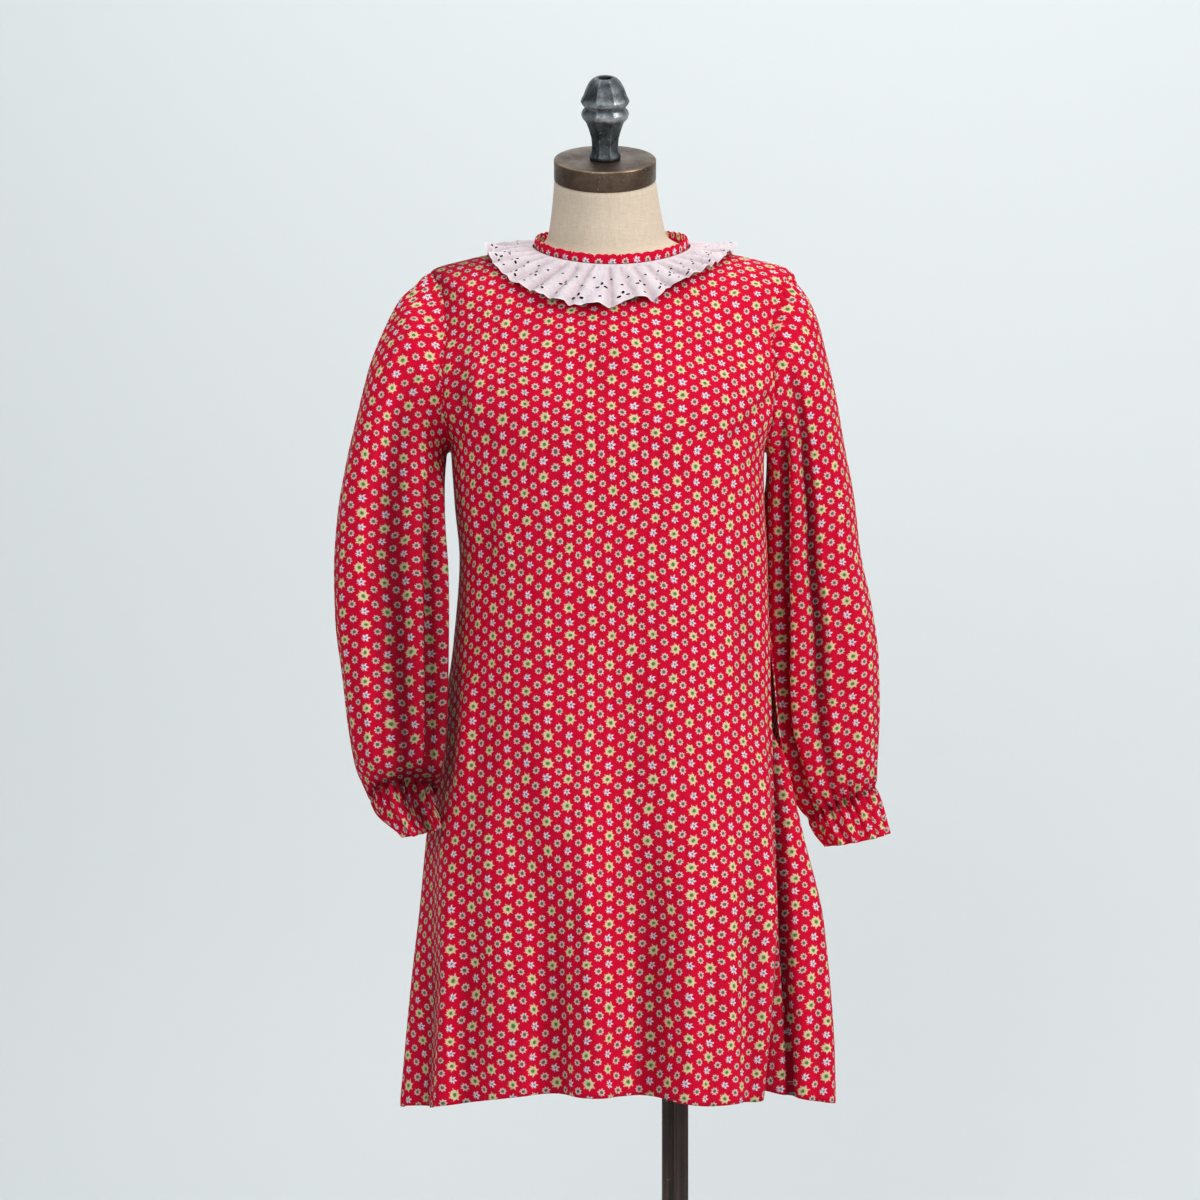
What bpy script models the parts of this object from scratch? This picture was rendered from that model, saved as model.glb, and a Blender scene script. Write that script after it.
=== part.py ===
"""A long-sleeved tent dress with a ruffled neck, worn by a limbless dress form on a post.

Metres, +Z up. The dress faces -Y. The origin is the middle of the base's underside, on the post.
The cloth pieces are thin walls. Each is a grid of points on a surface that is worked out from
the rings of a short table, and every piece that lies on another takes its points from it.
Angles about the body run from 0 at centre front through +90 degrees at +X to 180 at centre back.
"""

import math
from collections import namedtuple

import bmesh
import bpy
import numpy as np
from mathutils import Matrix, Vector

MM = 0.001
OBJECT_NAME = "tent_dress_on_form"

# Cloth, in metres
CLOTH_WALL = 1.5 * MM
RUFFLE_WALL = 1.0 * MM
BAND_WALL = 1.8 * MM
SEAM_GAP = 0.3 * MM
SIDE_SEAM_GAP = 0.45 * MM
FORM_CLEARANCE = 0.5 * MM

# Rings of the dress body, in millimetres, from the neck seam down to the hem. side_z is the
# height of a ring at the wearer's sides, half_width its reach each way from centre_x, and the
# other columns are where it crosses centre front and centre back.
BODY_COLUMNS = (
    "side_z", "half_width", "centre_x", "front_y", "front_z", "back_y", "back_z", "roundness",
)
BODY_ROWS = (
    # neck seam and shoulders
    (1371.0, 77.5, -63.5, -66.0, 1346.0, 82.0, 1386.0, 2.0),
    (1364.0, 112.0, -63.5, -78.0, 1325.0, 94.0, 1372.0, 1.85),
    (1357.0, 146.0, -63.5, -93.0, 1303.0, 102.0, 1350.0, 1.7),
    (1343.5, 180.5, -64.0, -110.0, 1276.0, 107.0, 1322.0, 1.62),
    # armholes
    (1300.0, 180.0, -66.0, -125.0, 1247.0, 109.0, 1286.0, 1.8),
    (1250.0, 177.0, -68.0, -138.0, 1215.0, 110.0, 1243.0, 2.05),
    (1205.0, 168.5, -68.0, -146.0, 1187.0, 109.0, 1203.0, 2.2),
    (1164.0, 155.4, -67.5, -149.0, 1158.0, 107.0, 1164.0, 2.25),
    # skirt
    (1110.0, 153.3, -65.5, -150.0, 1112.0, 103.0, 1110.0, 2.25),
    (1057.0, 151.9, -62.2, -152.0, 1063.0, 103.0, 1057.0, 2.25),
    (977.0, 157.4, -62.4, -158.0, 988.0, 108.0, 977.0, 2.25),
    (887.0, 168.3, -65.2, -166.0, 904.0, 118.0, 888.0, 2.25),
    (787.0, 184.0, -62.3, -178.0, 811.0, 134.0, 789.0, 2.25),
    (690.0, 199.0, -56.2, -190.0, 720.0, 150.0, 694.0, 2.25),
    (583.0, 208.2, -56.4, -199.0, 620.0, 163.0, 590.0, 2.25),
    (514.0, 211.3, -58.1, -205.0, 552.0, 171.0, 520.0, 2.25),
)
TIP_ROW = 3
UNDERARM_ROW = 7
ARMHOLE_DEG = 28.0
ARMHOLE_EASE = 1.4 * MM
SHOULDER_GAP_SHARE = 3.0

# Folds of the skirt: the angle where a fold starts and the angle that it reaches at the hem, the
# height where it starts, how far it stands out at the hem (less than 0 is a trough), its half
# width, and how much lower the hem hangs there. Only the largest folds are here.
Fold = namedtuple("Fold", ("top_deg", "hem_deg", "start_z", "depth", "half_deg", "hem_drop"))
FOLD_ROWS = (
    (-56.0, -70.0, 940.0, 6.0, 8.0, -2.0),
    (-74.0, -60.0, 1010.0, -16.0, 7.0, 0.0),
    (-57.0, -51.0, 850.0, 14.0, 8.0, 0.0),
    (-36.0, -33.0, 800.0, -9.0, 10.0, -2.0),
    (-14.0, -15.5, 760.0, -15.0, 8.0, -2.0),
    (-9.0, -5.0, 860.0, 12.0, 8.0, 1.0),
    (6.0, 9.0, 720.0, -10.0, 8.0, 1.0),
    (34.0, 28.0, 860.0, 16.0, 9.0, 6.0),
    (88.0, 50.0, 1060.0, -46.0, 7.5, -11.0),
    (92.0, 66.0, 1000.0, 10.0, 7.0, -5.0),
    (94.0, 84.0, 900.0, 2.0, 9.0, -17.0),
    (104.0, 112.0, 900.0, -18.0, 10.0, -6.0),
    (126.0, 131.0, 960.0, 14.0, 10.0, 4.0),
    (150.0, 152.0, 860.0, -16.0, 9.0, -4.0),
    (172.0, 172.0, 820.0, 13.0, 9.0, 4.0),
    (196.0, 192.0, 880.0, -15.0, 9.0, -4.0),
    (216.0, 214.0, 940.0, 14.0, 10.0, 5.0),
    (240.0, 238.0, 900.0, -17.0, 10.0, -3.0),
    (262.0, 256.0, 860.0, 9.0, 9.0, 1.0),
)
FOLD_SWING = 1.6
FOLD_GROWTH = 1.3

# Rings of the two sleeves, in millimetres, from just past the armhole to the elastic. A ring runs
# from its outer point over the front to its inner point, under the arm, and round behind. tilt is
# how much higher it is in front than halfway round.
SleeveRing = namedtuple(
    "SleeveRing", ("outer_x", "outer_z", "inner_x", "inner_z", "centre_y", "half_depth", "tilt"))
SLEEVE_LEFT_ROWS = (
    (-260.1, 1328.5, -227.0, 1161.3, -16.0, 62.0, 0.0),
    (-273.2, 1316.4, -227.5, 1157.2, -18.0, 61.0, 0.0),
    (-290.6, 1282.2, -227.6, 1152.1, -23.0, 59.0, 0.0),
    (-303.1, 1248.1, -227.6, 1145.9, -29.0, 56.0, 0.0),
    (-314.5, 1200.1, -227.6, 1135.8, -37.0, 53.0, 0.0),
    (-324.8, 1152.3, -227.2, 1120.7, -46.0, 51.0, 0.0),
    (-333.0, 1097.8, -225.9, 1085.9, -56.0, 50.0, 0.0),
    (-335.4, 1051.4, -222.9, 1046.5, -66.0, 49.0, 0.0),
    (-333.3, 997.4, -221.6, 995.4, -78.0, 48.0, 0.0),
    (-325.8, 943.7, -221.6, 941.7, -90.0, 46.0, 2.0),
    (-319.0, 892.1, -222.6, 890.2, -100.0, 43.0, 4.0),
    (-311.2, 853.3, -226.0, 851.3, -106.0, 39.0, 6.0),
    (-302.8, 834.9, -232.0, 832.0, -109.0, 34.0, 8.0),
    (-299.5, 823.0, -240.0, 819.0, -111.0, 24.0, 10.0),
)
SLEEVE_RIGHT_ROWS = (
    (121.2, 1332.7, 91.0, 1161.4, -14.0, 62.0, 0.0),
    (130.3, 1320.9, 91.2, 1157.5, -12.0, 61.0, 0.0),
    (141.5, 1298.3, 91.2, 1152.7, -8.0, 59.0, 0.0),
    (151.8, 1258.8, 91.2, 1146.9, -3.0, 56.0, 0.0),
    (161.2, 1219.2, 90.8, 1135.1, 3.0, 53.0, 0.0),
    (169.7, 1172.4, 89.0, 1117.3, 9.0, 51.0, 0.0),
    (180.2, 1119.5, 87.8, 1082.3, 16.0, 50.0, 0.0),
    (187.6, 1062.3, 87.4, 1042.2, 24.0, 50.0, 0.0),
    (199.0, 1012.0, 90.0, 996.9, 32.0, 49.0, 0.0),
    (206.8, 956.5, 92.4, 946.4, 37.0, 47.0, 0.0),
    (208.1, 903.0, 97.0, 893.9, 40.0, 44.0, 0.0),
    (206.6, 865.6, 106.0, 853.5, 41.0, 39.0, 0.0),
    (205.5, 844.5, 118.5, 820.1, 41.0, 32.0, 0.0),
    (205.0, 829.0, 133.5, 795.5, 41.0, 22.0, 0.0),
)
SLEEVE_RING_POWER = 2.2
SLEEVE_BLEND = (0.35, 0.6, 0.8, 0.93)
SLEEVE_FOLD_FADE = 0.7
HEAD_SPREAD = 0.5
HEAD_GATHERS = (2.0, 2.2, 1.2, 0.4)
WRIST_GATHERS = (0.6, 1.4, 2.2, 2.4)

# Long folds of the sleeves: the angle where a fold starts and where it ends, as round a ring from
# its outer point over the front, the rings that it spans, its depth and its half width.
SleeveFold = namedtuple(
    "SleeveFold", ("top_deg", "wrist_deg", "first_ring", "last_ring", "depth", "half_deg"))
SLEEVE_FOLDS_LEFT = (
    (60.0, 40.0, 1, 12, 3.5, 16.0),
    (128.0, 132.0, 4, 14, -8.0, 16.0),
    (152.0, 156.0, 5, 13, 3.0, 12.0),
    (214.0, 222.0, 3, 13, -5.0, 16.0),
    (258.0, 262.0, 2, 12, -6.0, 16.0),
    (312.0, 306.0, 3, 13, -5.0, 15.0),
)
SLEEVE_FOLDS_RIGHT = (
    (56.0, 44.0, 2, 12, 3.5, 15.0),
    (92.0, 88.0, 2, 14, -8.0, 13.0),
    (110.0, 108.0, 5, 13, 3.5, 10.0),
    (134.0, 130.0, 4, 14, -8.0, 13.0),
    (224.0, 220.0, 3, 13, -5.0, 16.0),
    (268.0, 262.0, 2, 12, -6.0, 16.0),
    (314.0, 318.0, 3, 13, -5.0, 15.0),
)

# Rings of the flounces below the elastic, in a SleeveRing's columns.
CUFF_LEFT_ROWS = (
    (-293.5, 814.5, -240.0, 810.0, -114.0, 28.0, 14.0),
    (-285.0, 812.0, -239.5, 797.0, -117.0, 30.0, 16.0),
)
CUFF_RIGHT_ROWS = (
    (210.5, 808.5, 141.5, 782.0, 41.5, 26.0, 0.0),
    (216.5, 780.5, 154.5, 768.0, 42.0, 31.0, 0.0),
)
CUFF_GATHERS = (2.6, 3.0)

# Neckband, ruffle and the closing at the back
BAND_HEIGHT = 10.0 * MM
BAND_LEAN = 1.5 * MM
BAND_COLUMNS = 36
BAND_RINGS = 3
RUFFLE_START = 1.5 * MM
RUFFLE_DEPTH = 48.0 * MM
RUFFLE_FRONT_EXTRA = 30.0 * MM
RUFFLE_SLANT = 8.0 * MM
RUFFLE_WAVES = 22
RUFFLE_SAMPLES = 5
RUFFLE_LIFT = 1.45 * MM
RUFFLE_RISE = 3.6 * MM
RUFFLE_WAVE_HEIGHT = 7.0 * MM
RUFFLE_RINGS = (0.0, 0.35, 0.7, 1.0)
# What makes the waves uneven: how many times round, by how much and from where
RUFFLE_SHIFTS = ((3, 0.7, 0.4), (5, 0.5, 1.9))
BACK_SLIT_LENGTH = 150.0 * MM
BACK_SLIT_GAP = 1.2 * MM
COLLAR_OPEN_DEG = 1.2
BUTTON_RADIUS = 4.5 * MM
BUTTON_OFFSET = 7.0 * MM
BUTTON_HEIGHT = 7.4 * MM
# The button's profile: radius and height, in millimetres
BUTTON_PROFILE = ((0.0, 0.0), (3.7, 0.0), (4.5, 0.8), (4.5, 1.8), (3.3, 3.0), (0.0, 3.0))
BUTTON_SIDES = 20
LOOP_RADIUS = 0.8 * MM
LOOP_START = -6.0 * MM
LOOP_SPREAD = 1.2 * MM
LOOP_HALF_TURN_DEG = 112.0
LOOP_STEPS = 13

# Dress form. Below the shoulders its rings are in the body's columns.
NECK_TILT_DEG = 23.0
CAP_TOP_CENTRE = (-70.0, -15.0, 1456.5)
CAP_RADIUS = 51.0 * MM
CAP_THICKNESS = 21.0 * MM
CAP_BEVEL = 1.2 * MM
NECK_TOP_RADIUS = 50.5
FORM_NECK_ROWS = (
    (1407.0, 54.5, -68.8, -50.0, 1390.0, 53.0, 1425.0, 2.0),
    (1380.0, 60.5, -67.5, -50.5, 1366.0, 65.0, 1397.0, 2.0),
)
FORM_BODY_ROWS = (
    (1326.0, 172.0, -64.5, -113.0, 1260.0, 99.0, 1312.0, 1.7),
    (1285.0, 167.0, -66.0, -124.0, 1232.0, 101.0, 1276.0, 1.85),
    (1230.0, 157.0, -67.0, -135.0, 1200.0, 101.0, 1228.0, 2.1),
    (1160.0, 146.0, -66.5, -140.0, 1153.0, 96.0, 1160.0, 2.2),
    (1085.0, 132.0, -64.5, -128.0, 1085.0, 86.0, 1085.0, 2.2),
    (1000.0, 117.0, -63.5, -106.0, 1000.0, 82.0, 1000.0, 2.1),
    (915.0, 130.0, -63.5, -110.0, 915.0, 92.0, 915.0, 2.15),
    (830.0, 146.0, -62.0, -118.0, 830.0, 106.0, 830.0, 2.2),
    (760.0, 148.0, -61.0, -118.0, 760.0, 110.0, 760.0, 2.2),
    (716.0, 145.0, -60.0, -115.0, 716.0, 108.0, 716.0, 2.2),
)
FORM_SIDES = 28
# Finial profile: distance along its axis from the cap and radius, in millimetres
FINIAL_PROFILE = (
    (0.3, 16.5), (4.0, 16.0), (8.0, 13.6), (20.0, 15.2), (31.0, 17.0), (40.0, 20.5), (43.0, 25.0),
    (47.0, 25.0), (50.0, 22.0), (54.0, 22.0), (57.0, 25.0), (61.0, 24.6), (66.0, 21.0),
    (73.0, 16.5), (79.0, 10.5), (82.0, 6.5), (82.0, 3.2), (76.0, 3.2), (76.0, 0.0),
)
FINIAL_SIDES = 16
POST_SIDE = 26.0 * MM
POST_BEVEL = 2.5 * MM
POST_GROOVE_WIDTH = 5.0 * MM
POST_GROOVE_DEPTH = 4.0 * MM
POST_GROOVE_X = -4.0 * MM
# Base profile: radius and height, in millimetres, from the rim over the top to the socket
BASE_PROFILE = (
    (0.0, 0.0), (200.0, 0.0), (200.0, 6.0), (196.0, 11.0), (188.0, 13.0), (60.0, 20.0),
    (34.0, 26.0), (26.0, 34.0), (25.0, 58.0), (22.5, 60.0), (0.0, 60.0),
)
BASE_SIDES = 36
BASE_TOP = 60.0 * MM

# How finely the cloth is divided
PANEL_COLUMNS = 32
SHOULDER_STEPS = 4
ARMHOLE_STEPS = 9
SKIRT_STEPS = 12


def clear_scene():
    """Removes every object, mesh, curve and material that the file holds."""
    for thing in list(bpy.data.objects):
        bpy.data.objects.remove(thing, do_unlink=True)
    for store in (bpy.data.meshes, bpy.data.curves, bpy.data.materials):
        for item in list(store):
            store.remove(item)


def new_collection(name, hidden=False):
    """A collection of this name in the scene."""
    made = bpy.data.collections.new(name)
    made.hide_render = hidden
    bpy.context.scene.collection.children.link(made)
    return made


def make_material(name, colour, roughness, metallic=0.0):
    """A Principled material of one colour."""
    material = bpy.data.materials.new(name)
    material.use_nodes = True
    shader = material.node_tree.nodes["Principled BSDF"]
    shader.inputs["Base Color"].default_value = (*colour, 1.0)
    shader.inputs["Roughness"].default_value = roughness
    shader.inputs["Metallic"].default_value = metallic
    material.diffuse_color = (*colour, 1.0)
    return material


def place(thing, collection, material):
    """Puts an object in the collection, with its material."""
    for holder in list(thing.users_collection):
        holder.objects.unlink(thing)
    collection.objects.link(thing)
    thing.data.materials.clear()
    thing.data.materials.append(material)
    return thing


def new_object(name, mesh, collection, material):
    """A new object for a mesh or curve."""
    return place(bpy.data.objects.new(name, mesh), collection, material)


def smooth_table(rows, knots):
    """A function of distance that reads a table's columns smoothly, with no overshoot.

    Each column is a cubic between rows whose slope at a row is the harmonic mean of the slopes
    beside it, or 0 where they differ in sign.
    """
    table = np.array(rows, float)
    steps = np.diff(knots)[:, None]
    slopes = np.diff(table, axis=0) / steps
    same = slopes[1:] * slopes[:-1] > 0
    weights = np.where(same, 2.0 / (1.0 / np.where(same, slopes[1:], 1.0)
                                    + 1.0 / np.where(same, slopes[:-1], 1.0)), 0.0)
    tangents = np.vstack([slopes[:1], weights, slopes[-1:]])

    def read(distance):
        at = np.clip(np.asarray(distance, float), knots[0], knots[-1])
        cell = np.clip(np.searchsorted(knots, at, side="right") - 1, 0, len(knots) - 2)
        step = np.diff(knots)[cell][..., None]
        f = ((at - knots[cell])[..., None]) / step
        low, high = table[cell], table[cell + 1]
        return ((2 * f**3 - 3 * f**2 + 1) * low + (f**3 - 2 * f**2 + f) * step * tangents[cell]
                + (3 * f**2 - 2 * f**3) * high + (f**3 - f**2) * step * tangents[cell + 1])

    return read


def side_distances(rows):
    """How far each ring of a table lies from the first, in millimetres, along the side."""
    side = np.array([(row[1], row[0]) for row in rows])
    return np.concatenate([[0.0], np.cumsum(np.hypot(*np.diff(side, axis=0).T))])


BODY_KNOTS = side_distances(BODY_ROWS)
BODY_TABLE = smooth_table(BODY_ROWS, BODY_KNOTS)
TIP_AT, UNDERARM_AT, HEM_AT = BODY_KNOTS[TIP_ROW], BODY_KNOTS[UNDERARM_ROW], BODY_KNOTS[-1]


def ring_points(columns, angle):
    """Points of rings at these angles, in millimetres.

    Seen from above a ring is the rounded oval |x/a|^p + |y/b|^p = 1 through its side, front and
    back, with its roundness as p. Its height is the side's plus a term in cos(angle) and one in
    its square, so that it meets the heights at centre front and centre back.
    """
    side_z, half_width, centre_x, front_y, front_z, back_y, back_z, power = np.moveaxis(
        columns, -1, 0)
    sine, cosine = np.sin(angle), np.cos(angle)
    round_out = (np.abs(sine)**power + np.abs(cosine)**power) ** (-1.0 / power)
    x = centre_x + half_width * round_out * sine
    y = (front_y + back_y) / 2 - (back_y - front_y) / 2 * round_out * cosine
    z = (side_z + (front_z - back_z) / 2 * cosine
         + ((front_z + back_z) / 2 - side_z) * cosine**2)
    return np.stack([x, y, z], axis=-1)


def bump(offset, half):
    """A soft hump, 1 in the middle and 0 beyond twice its half width."""
    return np.where(np.abs(offset) < 2 * half, np.cos(offset / half * math.pi / 4)**2, 0.0)


def degrees_from(middle, angle):
    """How many degrees an angle in radians lies from a middle in degrees, the short way round."""
    return (np.degrees(angle) - middle + 180.0) % 360.0 - 180.0


def fold_reach(angle, side_z):
    """How far the skirt's folds stand out and how far they hang down, in millimetres."""
    out = np.zeros(np.broadcast(angle, side_z).shape)
    drop = np.zeros(out.shape)
    hem_z = BODY_ROWS[-1][0]
    for row in FOLD_ROWS:
        fold = Fold(*row)
        down = np.clip((fold.start_z - side_z) / (fold.start_z - hem_z), 0.0, 1.0)
        middle = fold.hem_deg + (fold.top_deg - fold.hem_deg) * (1 - down)**FOLD_SWING
        hump = down**FOLD_GROWTH * bump(degrees_from(middle, angle), fold.half_deg)
        out = out + fold.depth * hump
        drop = drop + fold.hem_drop * hump
    return out, drop


def body_points(angle, distance):
    """Points of the dress body's outer face, in metres, at angles and distances from the neck."""
    columns = BODY_TABLE(distance)
    angle = np.broadcast_to(angle, columns.shape[:-1])
    points = ring_points(columns, angle)
    out, drop = fold_reach(angle, columns[..., 0])
    points[..., 0] += out * np.sin(angle)
    points[..., 1] -= out * np.cos(angle)
    points[..., 2] -= drop
    return points * MM


def armhole_angle(distance):
    """How far the armhole's edge stands from the side, in radians: half an ellipse."""
    middle, half = (TIP_AT + UNDERARM_AT) / 2, (UNDERARM_AT - TIP_AT) / 2
    inside = np.clip(1 - ((distance - middle) / half)**2, 0.0, 1.0)
    return math.radians(ARMHOLE_DEG) * np.sqrt(inside)


def panel_rows():
    """Distances from the neck of the rows that all body panels share, in millimetres."""
    shoulder = np.linspace(0.0, TIP_AT, SHOULDER_STEPS + 1)[:-1]
    turn = np.linspace(0.0, math.pi, ARMHOLE_STEPS + 1)
    armhole = (TIP_AT + UNDERARM_AT) / 2 - (UNDERARM_AT - TIP_AT) / 2 * np.cos(turn)
    skirt = np.linspace(UNDERARM_AT, HEM_AT, SKIRT_STEPS + 1)[1:]
    return np.concatenate([shoulder, armhole, skirt])


def grid_mesh(name, points, closed=False):
    """A mesh of quads from a grid of points, whose columns run anticlockwise seen from above.

    Rows run downwards, so the faces point outwards. A closed grid joins its last column to its
    first.
    """
    rows, columns = points.shape[:2]
    number = np.arange(rows * columns).reshape(rows, columns)
    right = np.roll(number, -1, axis=1)
    if not closed:
        number, right = number[:, :-1], right[:, :-1]
    quads = np.stack([number[:-1], number[1:], right[1:], right[:-1]], axis=-1).reshape(-1, 4)
    mesh = bpy.data.meshes.new(name)
    mesh.from_pydata(points.reshape(-1, 3).tolist(), [], quads.tolist())
    mesh.shade_smooth()
    mesh.update()
    return mesh


def add_wall(thing, thickness):
    """Gives an open surface its thickness, inwards from the face that is drawn."""
    wall = thing.modifiers.new("wall", "SOLIDIFY")
    wall.thickness = thickness
    wall.offset = -1.0
    return thing


def make_cloth(name, points, collection, material, closed=False, wall=CLOTH_WALL):
    """A cloth piece: a grid with a wall."""
    return add_wall(new_object(name, grid_mesh(name, points, closed), collection, material), wall)


def gap_angle(gap, distance):
    """The angle that a gap in metres takes up on the body at this distance."""
    return gap / MM / BODY_TABLE(distance)[..., 1]


def make_panel(name, first_edge, last_edge, columns, collection, material):
    """A body panel between two edges, which are angles in radians for each row."""
    rows = panel_rows()
    share = np.linspace(0.0, 1.0, columns + 1)
    angle = first_edge[:, None] * (1 - share) + last_edge[:, None] * share
    points = body_points(angle, np.broadcast_to(rows[:, None], angle.shape))
    return make_cloth(name, points, collection, material)


def make_dress_body(collection, material):
    """The front, cut in one, and the two backs, which meet at centre back."""
    rows = panel_rows()
    half_gap = gap_angle(SIDE_SEAM_GAP / 2, rows)
    half_gap[:SHOULDER_STEPS + 1] *= SHOULDER_GAP_SHARE
    side = math.pi / 2 - armhole_angle(rows) - half_gap
    behind = math.pi / 2 + armhole_angle(rows) + half_gap
    slit = np.clip(1 - rows * MM / BACK_SLIT_LENGTH, 0.0, 1.0)
    middle = math.pi - gap_angle((SEAM_GAP + BACK_SLIT_GAP * slit) / 2, rows)
    half = PANEL_COLUMNS // 2
    make_panel("dress_front", -side, side, PANEL_COLUMNS, collection, material)
    make_panel("dress_back_right", behind, middle, half, collection, material)
    make_panel("dress_back_left", -middle, -behind, half, collection, material)


def armhole_loop(side):
    """The armhole's edge as a ring, from the shoulder over the front to the underarm and back.

    It has the panels' own points, with one more halfway along each of their chords.
    """
    rows = panel_rows()[SHOULDER_STEPS:SHOULDER_STEPS + ARMHOLE_STEPS + 1]
    front = body_points(side * (math.pi / 2 - armhole_angle(rows)), rows)
    back = body_points(side * (math.pi / 2 + armhole_angle(rows)), rows)
    loop = np.concatenate([front, back[-2:0:-1]])
    halfway = (loop + np.roll(loop, -1, axis=0)) / 2
    return np.stack([loop, halfway], axis=1).reshape(-1, 3)


def sleeve_ring(row, turn):
    """One ring of a sleeve, in metres: a rounded oval through its outer and inner points."""
    ring = SleeveRing(*row)
    sine, cosine = np.sin(turn), np.cos(turn)
    power = SLEEVE_RING_POWER
    round_out = (np.abs(sine)**power + np.abs(cosine)**power) ** (-1.0 / power)
    across, over = round_out * cosine, round_out * sine
    x = (ring.outer_x + ring.inner_x) / 2 + (ring.outer_x - ring.inner_x) / 2 * across
    y = ring.centre_y - ring.half_depth * over
    z = ((ring.outer_z + ring.inner_z) / 2 + (ring.outer_z - ring.inner_z) / 2 * across
         + ring.tilt * over)
    return np.stack([x, y, z], axis=-1) * MM


def sleeve_fold_depth(folds, ring, turn):
    """How far the sleeve's long folds stand out on one ring, in metres."""
    total = np.zeros(len(turn))
    for row in folds:
        fold = SleeveFold(*row)
        along = np.clip((ring - fold.first_ring) / (fold.last_ring - fold.first_ring), 0.0, 1.0)
        middle = fold.top_deg + (fold.wrist_deg - fold.top_deg) * along
        swell = math.sin(math.pi * along)**SLEEVE_FOLD_FADE
        total = total + fold.depth * swell * bump(degrees_from(middle, turn), fold.half_deg)
    return total * MM


def pushed_out(ring, amount):
    """A ring with each point moved away from the ring's middle by an amount."""
    arm = ring - ring.mean(axis=0)
    return ring + arm / np.linalg.norm(arm, axis=1, keepdims=True) * amount[:, None]


def zigzag(count):
    """Gathers: every other point out, and the rest in."""
    return np.where(np.arange(count) % 2 == 0, 1.0, -1.0)


def sleeve_points(side, rows, folds):
    """The sleeve's rings. The first is the armhole, just clear of the panels."""
    loop = armhole_loop(side)
    turn = np.linspace(0.0, 2 * math.pi, len(loop), endpoint=False)
    half = len(loop) // 2
    top, under = loop[0] / MM, loop[half] / MM
    depth = (loop[:, 1].max() - loop[:, 1].min()) / 2 / MM
    plain_row = (top[0], top[2], under[0], under[2], loop[:, 1].mean() / MM, depth, 0.0)
    left_over = loop - sleeve_ring(plain_row, turn)
    rings = [loop + np.array([side * ARMHOLE_EASE, 0.0, 0.0])]
    head = np.clip(np.cos(turn), 0.0, 1.0)**HEAD_SPREAD
    for number, row in enumerate(rows, start=1):
        kept = 1 - SLEEVE_BLEND[number - 1] if number <= len(SLEEVE_BLEND) else 0.0
        out = sleeve_fold_depth(folds, number, turn)
        if number <= len(HEAD_GATHERS):
            out = out + HEAD_GATHERS[number - 1] * MM * head * zigzag(len(turn))
        from_wrist = number - (len(rows) - len(WRIST_GATHERS)) - 1
        if from_wrist >= 0:
            out = out + WRIST_GATHERS[from_wrist] * MM * zigzag(len(turn))
        rings.append(pushed_out(sleeve_ring(row, turn) + kept * left_over, out))
    return np.array(rings)


def cuff_points(wrist, rows, turn):
    """The flounce's rings, from just below the sleeve's last ring."""
    gathers = [m * MM * zigzag(len(turn)) for m in CUFF_GATHERS]
    below = [pushed_out(sleeve_ring(row, turn), out) for row, out in zip(rows, gathers)]
    drop = below[0].mean(axis=0) - wrist.mean(axis=0)
    drop = drop / np.linalg.norm(drop) * 2 * SEAM_GAP
    return np.array([wrist + drop, *below])


def around(points, side):
    """Rings in the order that makes their faces point outwards."""
    return points if side < 0 else points[:, ::-1]


def make_sleeves(collection, material):
    """Both sleeves and the flounces below their elastic."""
    sides = (
        ("left", -1.0, SLEEVE_LEFT_ROWS, SLEEVE_FOLDS_LEFT, CUFF_LEFT_ROWS),
        ("right", 1.0, SLEEVE_RIGHT_ROWS, SLEEVE_FOLDS_RIGHT, CUFF_RIGHT_ROWS),
    )
    for name, side, rows, folds, cuff_rows in sides:
        sleeve = sleeve_points(side, rows, folds)
        turn = np.linspace(0.0, 2 * math.pi, sleeve.shape[1], endpoint=False)
        cuff = cuff_points(sleeve[-1], cuff_rows, turn)
        make_cloth(f"sleeve_{name}", around(sleeve, side), collection, material, closed=True)
        make_cloth(f"cuff_{name}", around(cuff, side), collection, material, closed=True)


def body_normals(angle, distance):
    """Unit normals of the body's outer face, from small steps along it."""
    step_angle = 0.01
    step_distance = 1.0
    across = body_points(angle + step_angle, distance) - body_points(angle - step_angle, distance)
    down = body_points(angle, distance + step_distance) - body_points(angle, distance)
    normal = np.cross(across, -down)
    return normal / np.linalg.norm(normal, axis=-1, keepdims=True)


def collar_angles(count):
    """Angles from centre back round the front to centre back, open by a small gap."""
    end = math.pi - math.radians(COLLAR_OPEN_DEG)
    return np.linspace(-end, end, count + 1)


def make_neckband(collection, material):
    """The neckband: it stands on the neck seam and leans in a little."""
    angle = collar_angles(BAND_COLUMNS)[None, :]
    up = np.linspace(1.0, 0.0, BAND_RINGS)[:, None]
    seam = body_points(angle, np.zeros(angle.shape))
    lean = BAND_LEAN * up[..., None] * np.stack([-np.sin(angle), np.cos(angle), 0 * angle], -1)
    rise = np.zeros(lean.shape)
    rise[..., 2] = SEAM_GAP + (BAND_HEIGHT - SEAM_GAP) * up
    return make_cloth("neckband", seam + lean + rise, collection, material, wall=BAND_WALL)


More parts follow.
